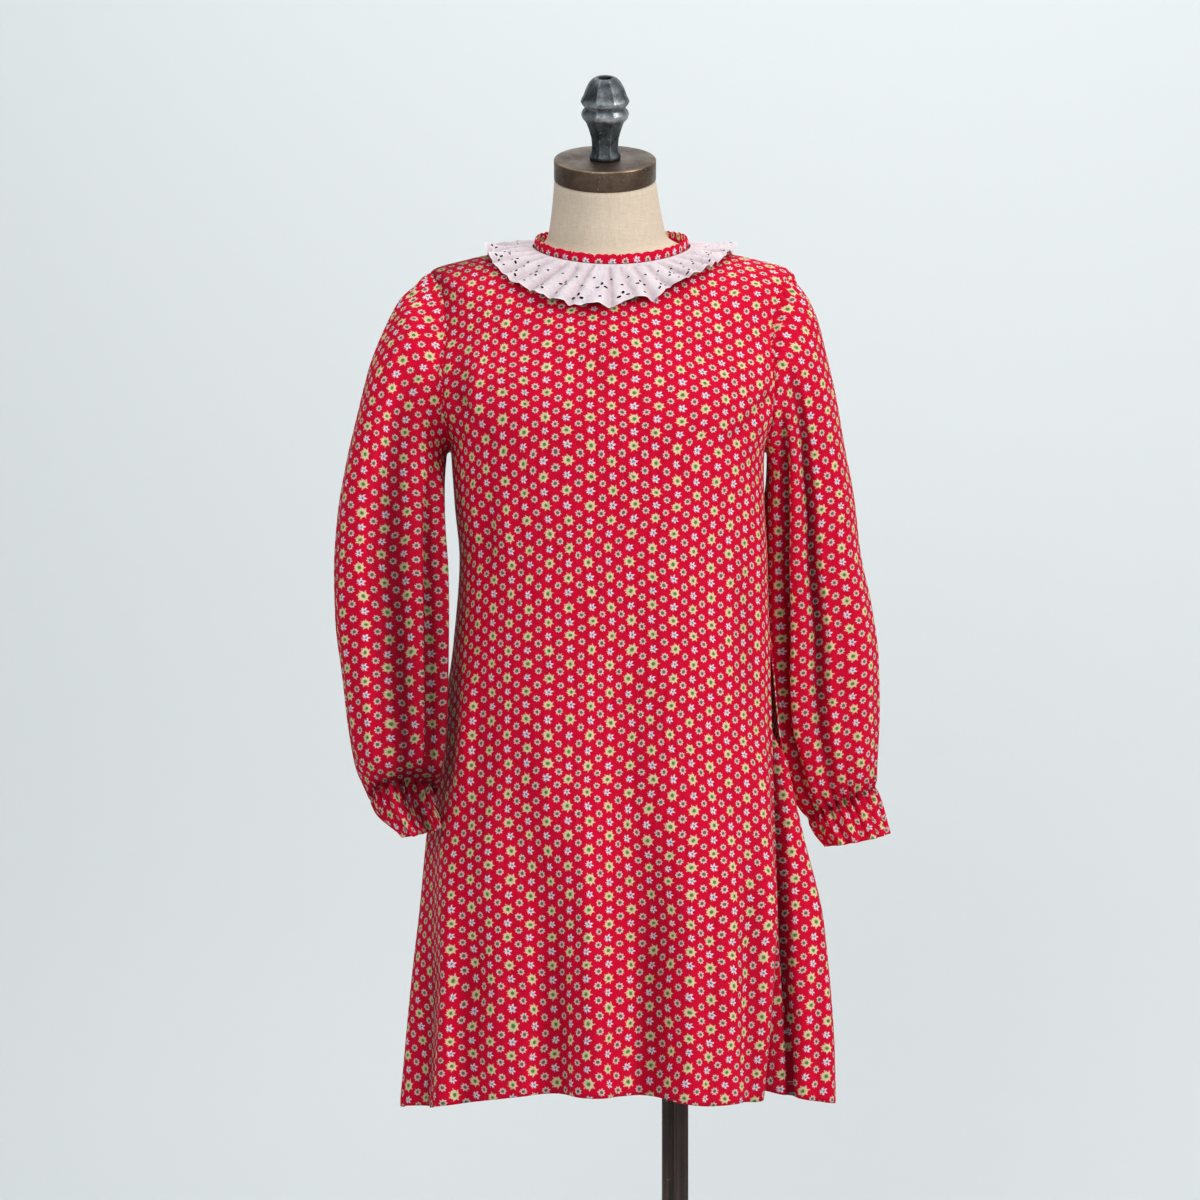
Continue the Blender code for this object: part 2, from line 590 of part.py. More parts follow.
def make_ruffle(collection, material):
    """The gathered ruffle: the body's own points, moved out by a lift that waves along it.

    It reaches further along the body at centre front and back, where the rings lie further
    apart, and hangs a little to one side. The waves start flat at the neck seam and are highest at the free edge.
    """
    angle = collar_angles(RUFFLE_WAVES * RUFFLE_SAMPLES)[None, :]
    out = np.array(RUFFLE_RINGS)[:, None]
    reach = (RUFFLE_DEPTH + RUFFLE_FRONT_EXTRA * np.cos(angle)**2
             - RUFFLE_SLANT * np.sin(2 * angle))
    distance = (RUFFLE_START + (reach - RUFFLE_START) * out) / MM
    angle = np.broadcast_to(angle, distance.shape)
    shift = sum(amount * np.sin(times * angle + start) for times, amount, start in RUFFLE_SHIFTS)
    wave = 0.5 + 0.5 * np.cos(RUFFLE_WAVES * angle + shift)
    lift = RUFFLE_LIFT + RUFFLE_RISE * out + RUFFLE_WAVE_HEIGHT * out * wave
    points = body_points(angle, distance) + body_normals(angle, distance) * lift[..., None]
    return make_cloth("collar_ruffle", points, collection, material, wall=RUFFLE_WALL)


def turned(name, profile, sides, collection, material):
    """A turned solid: a profile of radius and height in millimetres, spun about Z.

    The profile runs up the outer side, so the spin is reversed to make its faces point out.
    """
    mesh = bpy.data.meshes.new(name)
    points = [(radius * MM, 0.0, height * MM) for radius, height in profile]
    mesh.from_pydata(points, [(i, i + 1) for i in range(len(points) - 1)], [])
    thing = new_object(name, mesh, collection, material)
    screw = thing.modifiers.new("turn", "SCREW")
    screw.steps = screw.render_steps = sides
    screw.use_merge_vertices = True
    screw.merge_threshold = 0.00001
    screw.use_smooth_shade = True
    screw.use_normal_flip = True
    return thing


def neck_axis():
    """The direction that the neck's cap faces."""
    lean = math.radians(NECK_TILT_DEG)
    return Vector((0.0, -math.sin(lean), math.cos(lean)))


def make_form_torso(collection, material):
    """The form: tilted neck rings, shoulders just inside the dress, then its own bust and hips."""
    axis = neck_axis()
    top = Vector(CAP_TOP_CENTRE) - axis * (CAP_THICKNESS / MM + SEAM_GAP / MM)
    lean = math.radians(NECK_TILT_DEG)
    reach_y, reach_z = NECK_TOP_RADIUS * math.cos(lean), NECK_TOP_RADIUS * math.sin(lean)
    rows = [(top.z, NECK_TOP_RADIUS, top.x, top.y - reach_y, top.z - reach_z,
             top.y + reach_y, top.z + reach_z, 2.0), *FORM_NECK_ROWS]
    drop = (CLOTH_WALL + FORM_CLEARANCE) / MM
    for distance in panel_rows()[:SHOULDER_STEPS]:
        side_z, half_width, centre_x, front_y, front_z, back_y, back_z, power = BODY_TABLE(distance)
        rows.append((side_z - drop, half_width, centre_x, front_y + 2 * drop, front_z - drop,
                     back_y - 2 * drop, back_z - drop, power))
    columns = np.array([*rows, *FORM_BODY_ROWS])[:, None, :]
    angle = np.linspace(-math.pi, math.pi, FORM_SIDES, endpoint=False)[None, :]
    angle = np.broadcast_to(angle, (columns.shape[0], FORM_SIDES))
    columns = np.broadcast_to(columns, (*angle.shape, len(BODY_COLUMNS)))
    points = ring_points(columns, angle) * MM
    mesh = grid_mesh("form_torso", points, closed=True)
    shape = bmesh.new()
    shape.from_mesh(mesh)
    rims = [edge for edge in shape.edges if edge.is_boundary]
    bmesh.ops.holes_fill(shape, edges=rims, sides=0)
    bmesh.ops.recalc_face_normals(shape, faces=shape.faces)
    shape.to_mesh(mesh)
    shape.free()
    return new_object("form_torso", mesh, collection, material)


def along_neck(distance):
    """The matrix that sets a shape with +Z up on the neck's axis, this far from the cap's top."""
    turn = Vector((0.0, 0.0, 1.0)).rotation_difference(neck_axis()).to_matrix().to_4x4()
    return Matrix.Translation(Vector(CAP_TOP_CENTRE) * MM + neck_axis() * distance) @ turn


def make_neck_cap(collection, material):
    """The metal cap: a disc with softened rims."""
    bpy.ops.mesh.primitive_cylinder_add(vertices=36, radius=CAP_RADIUS, depth=CAP_THICKNESS)
    cap = bpy.context.object
    cap.name = cap.data.name = "neck_cap"
    place(cap, collection, material)
    cap.matrix_world = along_neck(-CAP_THICKNESS / 2)
    soften = cap.modifiers.new("rims", "BEVEL")
    soften.width = CAP_BEVEL
    soften.segments = 1
    soften.limit_method = "ANGLE"
    return cap


def make_finial(collection, material):
    """The turned finial on the cap."""
    profile = [(radius, along) for along, radius in FINIAL_PROFILE]
    finial = turned("finial", [(0.0, profile[0][1]), *profile], FINIAL_SIDES, collection, material)
    finial.matrix_world = along_neck(0.0)
    return finial


def make_base(collection, material):
    """The round base with its socket."""
    return turned("base", BASE_PROFILE, BASE_SIDES, collection, material)


def make_post(collection, cutters, material):
    """The square post, with a groove down its front, from the base to the form."""
    low = BASE_TOP + SEAM_GAP
    high = FORM_BODY_ROWS[-1][0] * MM - SEAM_GAP
    bpy.ops.mesh.primitive_cube_add(size=1.0)
    post = bpy.context.object
    post.name = post.data.name = "post"
    size = Matrix.Diagonal((POST_SIDE, POST_SIDE, high - low, 1.0))
    post.data.transform(Matrix.Translation((0.0, 0.0, (low + high) / 2)) @ size)
    place(post, collection, material)
    soften = post.modifiers.new("edges", "BEVEL")
    soften.width = POST_BEVEL
    soften.segments = 2
    bpy.ops.mesh.primitive_cube_add(size=1.0)
    groove = bpy.context.object
    groove.name = "groove_cutter"
    tall = Matrix.Diagonal((POST_GROOVE_WIDTH, 2 * POST_GROOVE_DEPTH, high - low + 0.1, 1.0))
    at = Matrix.Translation((POST_GROOVE_X, -POST_SIDE / 2, (low + high) / 2))
    groove.data.transform(at @ tall)
    place(groove, cutters, material)
    groove.hide_render = True
    groove.display_type = "WIRE"
    cut = post.modifiers.new("groove", "BOOLEAN")
    cut.object = groove
    cut.operation = "DIFFERENCE"
    return post


def back_of_band():
    """A point level with the button's middle, on the neckband's face at the button's lower edge."""
    seam = body_points(np.array([math.pi]), np.array([0.0]))[0]
    lean = BAND_LEAN * (BUTTON_HEIGHT - BUTTON_RADIUS) / BAND_HEIGHT
    return Vector(seam) + Vector((0.0, -lean, BUTTON_HEIGHT))


def make_closing(collection, button_material, loop_material):
    """The button at centre back and the loop that holds it.

    The loop runs from one end of the neckband round the button and back.
    """
    face = back_of_band() + Vector((0.0, SEAM_GAP, 0.0))
    button = turned("back_button", BUTTON_PROFILE, BUTTON_SIDES, collection, button_material)
    button.matrix_world = (Matrix.Translation(face + Vector((BUTTON_OFFSET, 0.0, 0.0)))
                           @ Matrix.Rotation(-math.pi / 2, 4, "X"))
    reach = BUTTON_RADIUS + LOOP_RADIUS + SEAM_GAP
    start = face + Vector((LOOP_START, LOOP_RADIUS, 0.0))
    middle = face + Vector((BUTTON_OFFSET, LOOP_RADIUS, 0.0))
    half_turn = math.radians(LOOP_HALF_TURN_DEG)
    turn = np.linspace(-half_turn, half_turn, LOOP_STEPS)
    route = [start + Vector((0.0, 0.0, -LOOP_SPREAD))]
    route += [middle + Vector((math.cos(a) * reach, 0.0, math.sin(a) * reach)) for a in turn]
    route.append(start + Vector((0.0, 0.0, LOOP_SPREAD)))
    curve = bpy.data.curves.new("button_loop", "CURVE")
    curve.dimensions = "3D"
    curve.bevel_depth = LOOP_RADIUS
    curve.bevel_resolution = 1
    curve.use_fill_caps = True
    spline = curve.splines.new("POLY")
    spline.points.add(len(route) - 1)
    for point, at in zip(spline.points, route):
        point.co = (*at, 1.0)
    return new_object("button_loop", curve, collection, loop_material)


def main():
    clear_scene()
    parts = new_collection(OBJECT_NAME)
    cutters = new_collection("cutters", hidden=True)
    print_cotton = make_material("printed_cotton", (0.62, 0.02, 0.03), 0.85)
    eyelet_lace = make_material("eyelet_cotton", (0.87, 0.83, 0.85), 0.9)
    linen = make_material("form_linen", (0.60, 0.50, 0.39), 0.9)
    bronze = make_material("cap_bronze", (0.10, 0.07, 0.05), 0.45, 0.9)
    pewter = make_material("finial_pewter", (0.12, 0.13, 0.14), 0.5, 0.8)
    dark_wood = make_material("post_wood", (0.03, 0.015, 0.01), 0.55)
    iron = make_material("base_iron", (0.02, 0.018, 0.017), 0.6, 0.6)
    make_dress_body(parts, print_cotton)
    make_sleeves(parts, print_cotton)
    make_neckband(parts, print_cotton)
    make_ruffle(parts, eyelet_lace)
    make_closing(parts, print_cotton, print_cotton)
    make_form_torso(parts, linen)
    make_neck_cap(parts, bronze)
    make_finial(parts, pewter)
    make_post(parts, cutters, dark_wood)
    make_base(parts, iron)


main()
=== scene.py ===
"""The looks of a printed cotton tent dress with an eyelet ruffle, on a linen dress form.

Metres, +Z up, the dress faces -Y. Every surface is worked out from the tables below, which are in
millimetres unless they say otherwise. Angles about the body run from 0 at centre front through
+90 degrees at +X to 180 at centre back.
"""
import math
from collections import namedtuple

import bpy
import numpy as np
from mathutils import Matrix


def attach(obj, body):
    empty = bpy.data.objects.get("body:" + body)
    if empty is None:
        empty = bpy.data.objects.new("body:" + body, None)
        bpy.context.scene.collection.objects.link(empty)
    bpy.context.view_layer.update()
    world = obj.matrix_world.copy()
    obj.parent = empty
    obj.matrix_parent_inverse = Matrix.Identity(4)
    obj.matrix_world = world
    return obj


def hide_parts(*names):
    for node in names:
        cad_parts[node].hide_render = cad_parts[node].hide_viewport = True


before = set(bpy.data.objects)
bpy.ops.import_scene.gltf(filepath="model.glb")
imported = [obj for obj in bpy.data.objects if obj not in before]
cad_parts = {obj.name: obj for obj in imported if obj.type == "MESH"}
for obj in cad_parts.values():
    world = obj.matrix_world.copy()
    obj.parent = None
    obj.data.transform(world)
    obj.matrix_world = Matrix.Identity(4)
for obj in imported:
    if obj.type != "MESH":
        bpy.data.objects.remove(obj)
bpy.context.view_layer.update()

MM = 0.001

# ---------------------------------------------------------------- camera, as in the photograph
CAMERA_AT = (-0.075, -3.3, 1.017)
CAMERA_LENS = 99.0
CAMERA_SENSOR = 36.0
PHOTO_SIZE = 1200

# ---------------------------------------------------------------- the dress body
# side_z, half_width, centre_x, front_y, front_z, back_y, back_z, roundness
BODY_ROWS = (
    (1371, 77.5, -63.5, -66, 1346, 82, 1386, 2),
    (1364, 112, -63.5, -78, 1325, 94, 1372, 1.85),
    (1357, 146, -63.5, -93, 1303, 102, 1350, 1.7),
    (1343.5, 180.5, -64, -110, 1276, 107, 1322, 1.62),
    (1300, 180, -66, -125, 1247, 109, 1286, 1.8),
    (1250, 177, -68, -138, 1215, 110, 1243, 2.05),
    (1205, 168.5, -68, -146, 1187, 109, 1203, 2.2),
    (1164, 155.4, -67.5, -149, 1158, 107, 1164, 2.25),
    (1110, 153.3, -65.5, -150, 1112, 103, 1110, 2.25),
    (1057, 151.9, -62.2, -152, 1063, 103, 1057, 2.25),
    (977, 157.4, -62.4, -158, 988, 108, 977, 2.25),
    (887, 168.3, -65.2, -166, 904, 118, 888, 2.25),
    (787, 184, -62.3, -178, 811, 134, 789, 2.25),
    (690, 199, -56.2, -190, 720, 150, 694, 2.25),
    (583, 208.2, -56.4, -199, 620, 163, 590, 2.25),
    (514, 211.3, -58.1, -205, 552, 171, 520, 2.25),
)
TIP_ROW = 3
UNDERARM_ROW = 7
CLOTH_BOXIER = 0.3
ARMHOLE_DEG = 28.0
ARMHOLE_EASE = 1.4
SEAM_HALF_GAP = 0.15
# The visible cloth's wall, and how far its edges turn in at a seam and at the hem.
CLOTH_WALL = 0.8
SEAM_TURN = 0.9
HEM_TURN = 0.7

# The skirt's large folds. The solids have fewer of them across the front.
Fold = namedtuple("Fold", ("top_deg", "hem_deg", "start_z", "depth", "half_deg", "hem_drop"))
FOLD_ROWS = (
    (-56, -70, 940, 6, 8, -2),
    (-74, -60, 1010, -16, 7, 0),
    (-57, -51, 850, 14, 8, 0),
    (-58, -34, 900, -8, 6.5, -1),
    (-50, -25.5, 940, 10, 6.5, -1),
    (-42, -19, 960, -19, 7.5, -2),
    (-15, -5.5, 1020, 15, 8, 1),
    (9, 3.5, 1110, -18, 7, 1),
    (24, 20, 1110, 16, 8, 5),
    (38, 33, 900, -5, 6, 0),
    (46, 41, 900, 5, 5, 0),
    (88, 50, 1060, -46, 7.5, -11),
    (92, 66, 1000, 10, 7, -5),
    (94, 84, 900, 2, 9, -17),
    (104, 112, 900, -18, 10, -6),
    (126, 131, 960, 14, 10, 4),
    (150, 152, 860, -16, 9, -4),
    (172, 172, 820, 13, 9, 4),
    (196, 192, 880, -15, 9, -4),
    (216, 214, 940, 14, 10, 5),
    (240, 238, 900, -17, 10, -3),
    (262, 256, 860, 9, 9, 1),
)
FOLD_SWING = 1.6
FOLD_GROWTH = 1.3

# Smaller creases of the front, in pixels of the photograph: where each starts and ends, how far it
# stands out in millimetres, its half width in pixels, and how much it fades at each end.
Crease = namedtuple("Crease", ("x0", "y0", "x1", "y1", "depth", "half", "fade0", "fade1"))
FRONT_CREASES = (
    (768, 398, 711, 462, -2.6, 5, 0, 1),
    (773, 412, 722, 480, 2.6, 8, 0, 1),
    (456, 398, 505, 462, -2.2, 5, 0, 1),
    (462, 312, 458, 470, -4, 8, 1, 1),
    (478, 330, 473, 470, 2.6, 8, 1, 1),
    (475, 470, 476, 560, 2.4, 7, 1, 1),
    (489, 480, 488, 600, -3.2, 7, 1, 1),
    (503, 465, 505, 600, 2.6, 8, 1, 1),
    (474, 640, 452, 840, 4.2, 7, 1, 1),
    (462, 640, 440, 860, -3.8, 7, 1, 1),
    (491, 650, 472, 900, -3.2, 10, 1, 1),
    (453, 800, 443, 1110, 4.8, 7, 1, 0),
    (437, 900, 424, 1110, -4.8, 7, 1, 0),
    (472, 900, 468, 1110, -3.8, 8, 1, 0),
    (540, 620, 545, 900, 2.6, 14, 1, 1),
    (579, 780, 602, 1110, 4.8, 9, 1, 0),
    (556, 900, 558, 1110, -3.5, 9, 1, 0),
    (530, 860, 522, 1110, 3.5, 10, 1, 0),
    (500, 900, 494, 1110, 2.9, 9, 1, 0),
    (652, 820, 654, 1110, -4.8, 16, 1, 0),
    (628, 900, 630, 1110, 2.6, 8, 1, 0),
    (692, 840, 690, 1110, 3.2, 10, 1, 0),
    (726, 780, 733, 1110, 5.4, 8, 1, 0),
    (710, 880, 712, 1110, -3.8, 8, 1, 0),
    (752, 760, 757, 1110, -3.8, 8, 1, 0),
    (700, 560, 712, 800, 2.4, 16, 1, 1),
    (744, 500, 750, 760, -2.9, 10, 1, 1),
    (773, 540, 791.5, 1112, -15, 3.8, 1, 0),
    (758, 480, 764, 700, 2.9, 6, 1, 1),
    (806, 900, 808, 1110, 3.8, 7, 1, 0),
    (818, 940, 822, 1110, -3.2, 6, 1, 0),
    (600, 320, 596, 420, -1.6, 18, 1, 1),
    (560, 300, 520, 360, 1.6, 10, 1, 1),
    (690, 300, 720, 350, 1.6, 10, 1, 1),
)
# The same for the back, as a viewer behind would see it, mirrored left for right.
BACK_CREASES = (
    (462, 312, 458, 470, -4, 8, 1, 1),
    (478, 330, 473, 470, 2.6, 8, 1, 1),
    (560, 330, 500, 430, 1.9, 10, 1, 1),
    (660, 330, 715, 430, 1.9, 10, 1, 1),
    (489, 480, 480, 640, -3.2, 8, 1, 1),
    (503, 465, 500, 640, 2.6, 8, 1, 1),
    (545, 600, 535, 900, 2.9, 12, 1, 1),
    (560, 820, 548, 1110, -3.8, 10, 1, 0),
    (580, 860, 575, 1110, 3.8, 9, 1, 0),
    (520, 860, 508, 1110, 3.8, 9, 1, 0),
    (480, 880, 466, 1110, -3.8, 9, 1, 0),
    (655, 620, 668, 900, 2.9, 12, 1, 1),
    (640, 860, 650, 1110, 3.8, 9, 1, 0),
    (672, 830, 684, 1110, -4.2, 9, 1, 0),
    (704, 860, 718, 1110, 3.8, 9, 1, 0),
    (745, 700, 762, 1110, -3.8, 9, 1, 0),
    (768, 312, 768, 470, -3.5, 8, 1, 1),
    (752, 480, 758, 660, 2.6, 8, 1, 1),
)
# The pattern piece: a sector of a ring, whose apex is this far above the underarm line.
CONE_ABOVE_UNDERARM = 878.0
GRAIN_TILT_DEG = 1.3
# Painted shade, darkening the cloth's colour: how much where it faces the left sleeve, on the inner
# side of each sleeve, at each wrist, under the ruffle and at most in all. A crease or fold this
# deep gets the full painted shade.
BESIDE_SLEEVE = 0.75
SLEEVE_SHADES = (1, 0.13)
WRIST_SHADES = (0.6, 0.15)
UNDER_RUFFLE = 0.75
HOLLOW_SHADE = 0.72
CREASE_SHADED = 13.0
FOLD_SHADED = 90.0

# ---------------------------------------------------------------- sleeves
SleeveRing = namedtuple(
    "SleeveRing", ("outer_x", "outer_z", "inner_x", "inner_z", "centre_y", "half_depth", "tilt"))
SLEEVE_LEFT_ROWS = (
    (-260.1, 1328.5, -227, 1161.3, -16, 62, 0),
    (-273.2, 1316.4, -227.5, 1157.2, -18, 61, 0),
    (-290.6, 1282.2, -227.6, 1152.1, -23, 59, 0),
    (-303.1, 1248.1, -227.6, 1145.9, -29, 56, 0),
    (-314.5, 1200.1, -227.6, 1135.8, -37, 53, 0),
    (-324.8, 1152.3, -227.2, 1120.7, -46, 51, 0),
    (-333, 1097.8, -225.9, 1085.9, -56, 50, 0),
    (-335.4, 1051.4, -222.9, 1046.5, -66, 49, 0),
    (-333.3, 997.4, -221.6, 995.4, -78, 48, 0),
    (-325.8, 943.7, -221.6, 941.7, -90, 46, 2),
    (-319, 892.1, -222.6, 890.2, -100, 43, 4),
    (-311.2, 853.3, -226, 851.3, -106, 39, 12),
    (-302.8, 836, -232, 838, -109, 34, 20),
    (-298, 826, -236, 834, -110, 25, 16),
    (-291, 811, -233, 820, -112, 28, 6),
    (-266, 790, -226, 799, -114, 31, -2),
)
SLEEVE_RIGHT_ROWS = (
    (121.2, 1332.7, 91, 1161.4, -14, 62, 0),
    (130.3, 1320.9, 91.2, 1157.5, -12, 61, 0),
    (141.5, 1298.3, 91.2, 1152.7, -8, 59, 0),
    (151.8, 1258.8, 91.2, 1146.9, -3, 56, 0),
    (161.2, 1219.2, 90.8, 1135.1, 3, 53, 0),
    (169.7, 1172.4, 89, 1117.3, 9, 51, 0),
    (180.2, 1119.5, 87.8, 1082.3, 16, 50, 0),
    (187.6, 1062.3, 87.4, 1042.2, 24, 50, 0),
    (199, 1012, 87.5, 996.9, 32, 49, 0),
    (206.8, 956.5, 87.5, 946.4, 37, 47, 0),
    (208.1, 903, 91.5, 893.9, 40, 44, 0),
    (206.6, 865.6, 106, 853.5, 41, 39, 0),
    (205.5, 844.5, 118.5, 820.1, 41, 32, 0),
    (205, 829, 133.5, 795.5, 41, 22, 0),
    (210.5, 808.5, 141.5, 782, 41.5, 26, 0),
    (216.5, 780.5, 154.5, 768, 42, 31, 0),
)
SLEEVE_RING_POWER = 2.2
SLEEVE_KEPT = (1, 0.65, 0.4, 0.2, 0.07)
WRIST_RING = 14
HEM_RING = 16
SLEEVE_FOLD_FADE = 0.7

# Folds along the sleeves: turn at the top and at the wrist, in degrees from the outer line over
# the front, the rings where each starts and ends, how far it stands out, and its half width.
SleeveFold = namedtuple(
    "SleeveFold", ("top_deg", "wrist_deg", "first_ring", "last_ring", "depth", "half_deg"))
SLEEVE_FOLDS_LEFT = (
    (52, 42, 1, 13, 6, 16),
    (86, 92, 2, 14, -8, 13),
    (124, 118, 3, 14, 3, 10),
    (136, 134, 5, 14.2, -9, 8),
    (152, 150, 4, 13.5, 8, 9),
    (214, 222, 3, 13, -5, 16),
    (258, 262, 2, 12, -6, 16),
    (312, 306, 3, 13, -5, 15),
    # smaller ones
    (20, 24, 6, 14, -1.6, 7),
    (70, 66, 6, 14.2, -2, 6),
    (104, 102, 6, 14.2, -3, 6),
    (66, 60, 8, 14.2, 1.4, 6),
    (46, 50, 9, 14.2, -1.6, 6),
    (118, 112, 9, 14.2, -2, 6),
    (30, 70, 0.5, 4.5, 1.4, 7),
    (104, 112, 13.3, 16.8, -9, 20),
)
SLEEVE_FOLDS_RIGHT = (
    (56, 44, 2, 12, 3.5, 15),
    (88, 97, 2, 14, -11, 6.5),
    (104, 116, 3, 13.5, 4, 8),
    (116, 138, 2, 14, -11, 6.5),
    (224, 220, 3, 13, -5, 16),
    (268, 262, 2, 12, -6, 16),
    (314, 318, 3, 13, -5, 15),
    # smaller ones
    (70, 66, 6, 14.2, -1.8, 7),
    (30, 26, 8, 14.2, -1.4, 7),
    (122, 118, 7, 14.2, 1.6, 6),
    (50, 54, 9, 14.2, 1.4, 6),
    (150, 146, 7, 14.2, 1.4, 7),
)
# Gathers round a sleeve: how many at its head, at the elastic, in fine puckers there and in the
# flounce, and how high each kind stands.
HEAD_WAVES, HEAD_GATHER = 46, 2.8
WRIST_WAVES, WRIST_GATHER = 27, 3.9
PUCKER_WAVES, PUCKER_HEIGHT = 41, 1.5
FLOUNCE_WAVES, FLOUNCE_HEIGHT = 11, 3.2
ELASTIC_DEPTH = 2.6
GATHERED_FROM = 10
SLEEVE_COLUMNS = 220
# Rows of the sleeve's grid: from one ring to another, and how many.
SLEEVE_GRID = ((0, 3, 40), (3, 11, 60), (11, HEM_RING, 52))
SLEEVE_LEVEL_RING = 7.0
SLEEVE_GRAIN_DEG = 2.0
SLEEVE_TUCK = 5.0
# Painted shade on each sleeve's inner side: the turn where it starts, and its share at each ring.
INNER_FROM = 0.1
SLEEVE_SHADE_ALONG = ((0, 3, 8, 13, HEM_RING), (0.1, 0.35, 0.7, 1.0, 0.4))
# The inner side of each sleeve hangs forward of its ring, by this much at each ring.
SLEEVE_FORWARD = ((0, 0), (3, 6), (6, 20), (9, 28), (12, 24), (14, 0))
SLEEVE_FORWARD_SIDES = (1, 0.25)

# ---------------------------------------------------------------- neck trim
BAND_HEIGHT = 10.0
BAND_LEAN = 1.5
BAND_WALL = 1.8
RUFFLE_START = 1.5
RUFFLE_DEPTH = 48.0
RUFFLE_FRONT_EXTRA = 30.0
RUFFLE_SLANT = 8.0
RUFFLE_LIFT = 1.45
RUFFLE_RISE = 3.6
RUFFLE_WAVE_HEIGHT = 6.0
# Where the ruffle's gathers pinch: the angle, how far each leans toward the free edge, its depth
# as a share of the wave's height, its half width, and how far it draws the edge up.
Pinch = namedtuple("Pinch", ("at_deg", "lean_deg", "depth", "half_deg", "draw_up"))
PINCHES = (
    (-62, -3, 0.8, 3.1, 2.2), (-52, -2, 1, 2.6, 3), (-42, -3, 0.8, 3.1, 0.8),
    (-30, -5, 1, 2.4, 3.8), (-21.5, -2, 0.9, 2.9, 1.5), (-13, -3, 1, 2.2, 1.5),
    (-1.5, 1, 1.1, 1.9, 0), (5, 4, 0.7, 2.4, 6.8), (14, 2, 1, 2.2, 0),
    (22.5, 3, 0.9, 2.4, 7.5), (33, 4, 1.1, 2.2, 7.5), (42, 3, 0.8, 2.9, 3),
    (52, 2, 1, 2.6, 2.2), (63, -2, 0.8, 3.1, 1.5), (74, 3, 1, 2.6, 3),
    (86, -3, 0.9, 3.1, 0.8), (97, 2, 1.1, 2.4, 3), (109, 3, 0.8, 2.9, 1.5),
    (119, -2, 1, 2.3, 2.2), (131, 3, 0.9, 2.9, 0.8), (141, -3, 1, 2.4, 3),
    (152, 2, 0.8, 3, 1.5), (163, 3, 1, 2.4, 2.2), (172, 1, 0.7, 2.8, 0.8),
    (-172, 1, 0.8, 2.8, 0.8), (-161, -3, 1, 2.4, 2.2), (-150, 2, 0.9, 3, 1.5),
    (-139, -3, 1.1, 2.4, 3), (-128, 3, 0.8, 2.9, 0.8), (-117, -2, 1, 2.3, 2.2),
    (-106, 3, 0.9, 2.9, 1.5), (-95, -3, 1, 2.4, 3), (-84, 2, 0.8, 3.1, 0.8),
    (-73, -2, 1, 2.6, 2.2),
)
RUFFLE_FLAT_LENGTH = 720.0
RUFFLE_FLAT_WIDTH = 56.0
SCALLOP_LENGTH = 9.0
SCALLOP_DEPTH = 1.3
COLLAR_OPEN_DEG = 1.2
BACK_SLIT_LENGTH = 150.0
BACK_SLIT_GAP = 1.2
# One repeat of the eyelets in the flat strip: along it, up from its scalloped edge, the turn of
# the eyelet's long axis, and its half length and half width.
Eyelet = namedtuple("Eyelet", ("along", "up", "turn_deg", "half_length", "half_width"))
EYELET_REPEAT = 36.0
EYELETS = (
    (9, 13.6, 90, 2.1, 1.35),
    (5.6, 8.6, 215, 2.1, 1.35),
    (12.4, 8.6, 325, 2.1, 1.35),
    (27, 27, 90, 2.1, 1.35),
    (23.6, 22, 215, 2.1, 1.35),
    (30.4, 22, 325, 2.1, 1.35),
    (27, 9, 0, 1.6, 1.15),
    (9, 24.5, 0, 1.6, 1.15),
    (18, 36, 40, 1.6, 1.15),
    (0, 34, 140, 1.6, 1.15),
)
BUTTON_PROFILE = (
    (0, 0), (3.6, 0), (4.3, 0.35), (4.5, 1), (4.4, 1.6), (3.8, 2.35), (2.6, 2.8),
    (1.2, 2.98), (0, 3),
)
BUTTON_RADIUS = 4.5
BUTTON_OFFSET = 7.0
BUTTON_HEIGHT = 7.4
LOOP_RADIUS = 0.8
LOOP_START = -6.0
LOOP_SPREAD = 1.2
LOOP_HALF_TURN_DEG = 112.0

# ---------------------------------------------------------------- the form
NECK_TILT_DEG = 23.0
CAP_TOP_CENTRE = (-70, -15, 1456.5)
CAP_THICKNESS = 21.0
NECK_TOP_RADIUS = 50.5
FORM_NECK_ROWS = (
    (1407, 54.5, -68.8, -50, 1390, 53, 1425, 2),
    (1380, 60.5, -67.5, -50.5, 1366, 65, 1397, 2),
)
FORM_BODY_ROWS = (
    (1326, 172, -64.5, -113, 1260, 99, 1312, 1.7),
    (1285, 167, -66, -124, 1232, 101, 1276, 1.85),
    (1230, 157, -67, -135, 1200, 101, 1228, 2.1),
    (1160, 146, -66.5, -140, 1153, 96, 1160, 2.2),
    (1085, 132, -64.5, -128, 1085, 86, 1085, 2.2),
    (1000, 117, -63.5, -106, 1000, 82, 1000, 2.1),
    (915, 130, -63.5, -110, 915, 92, 915, 2.15),
    (830, 146, -62, -118, 830, 106, 830, 2.2),
    (760, 148, -61, -118, 760, 110, 760, 2.2),
    (716, 145, -60, -115, 716, 108, 716, 2.2),
)
FORM_DROP = 2.0
FORM_SHOULDER_STEPS = 4


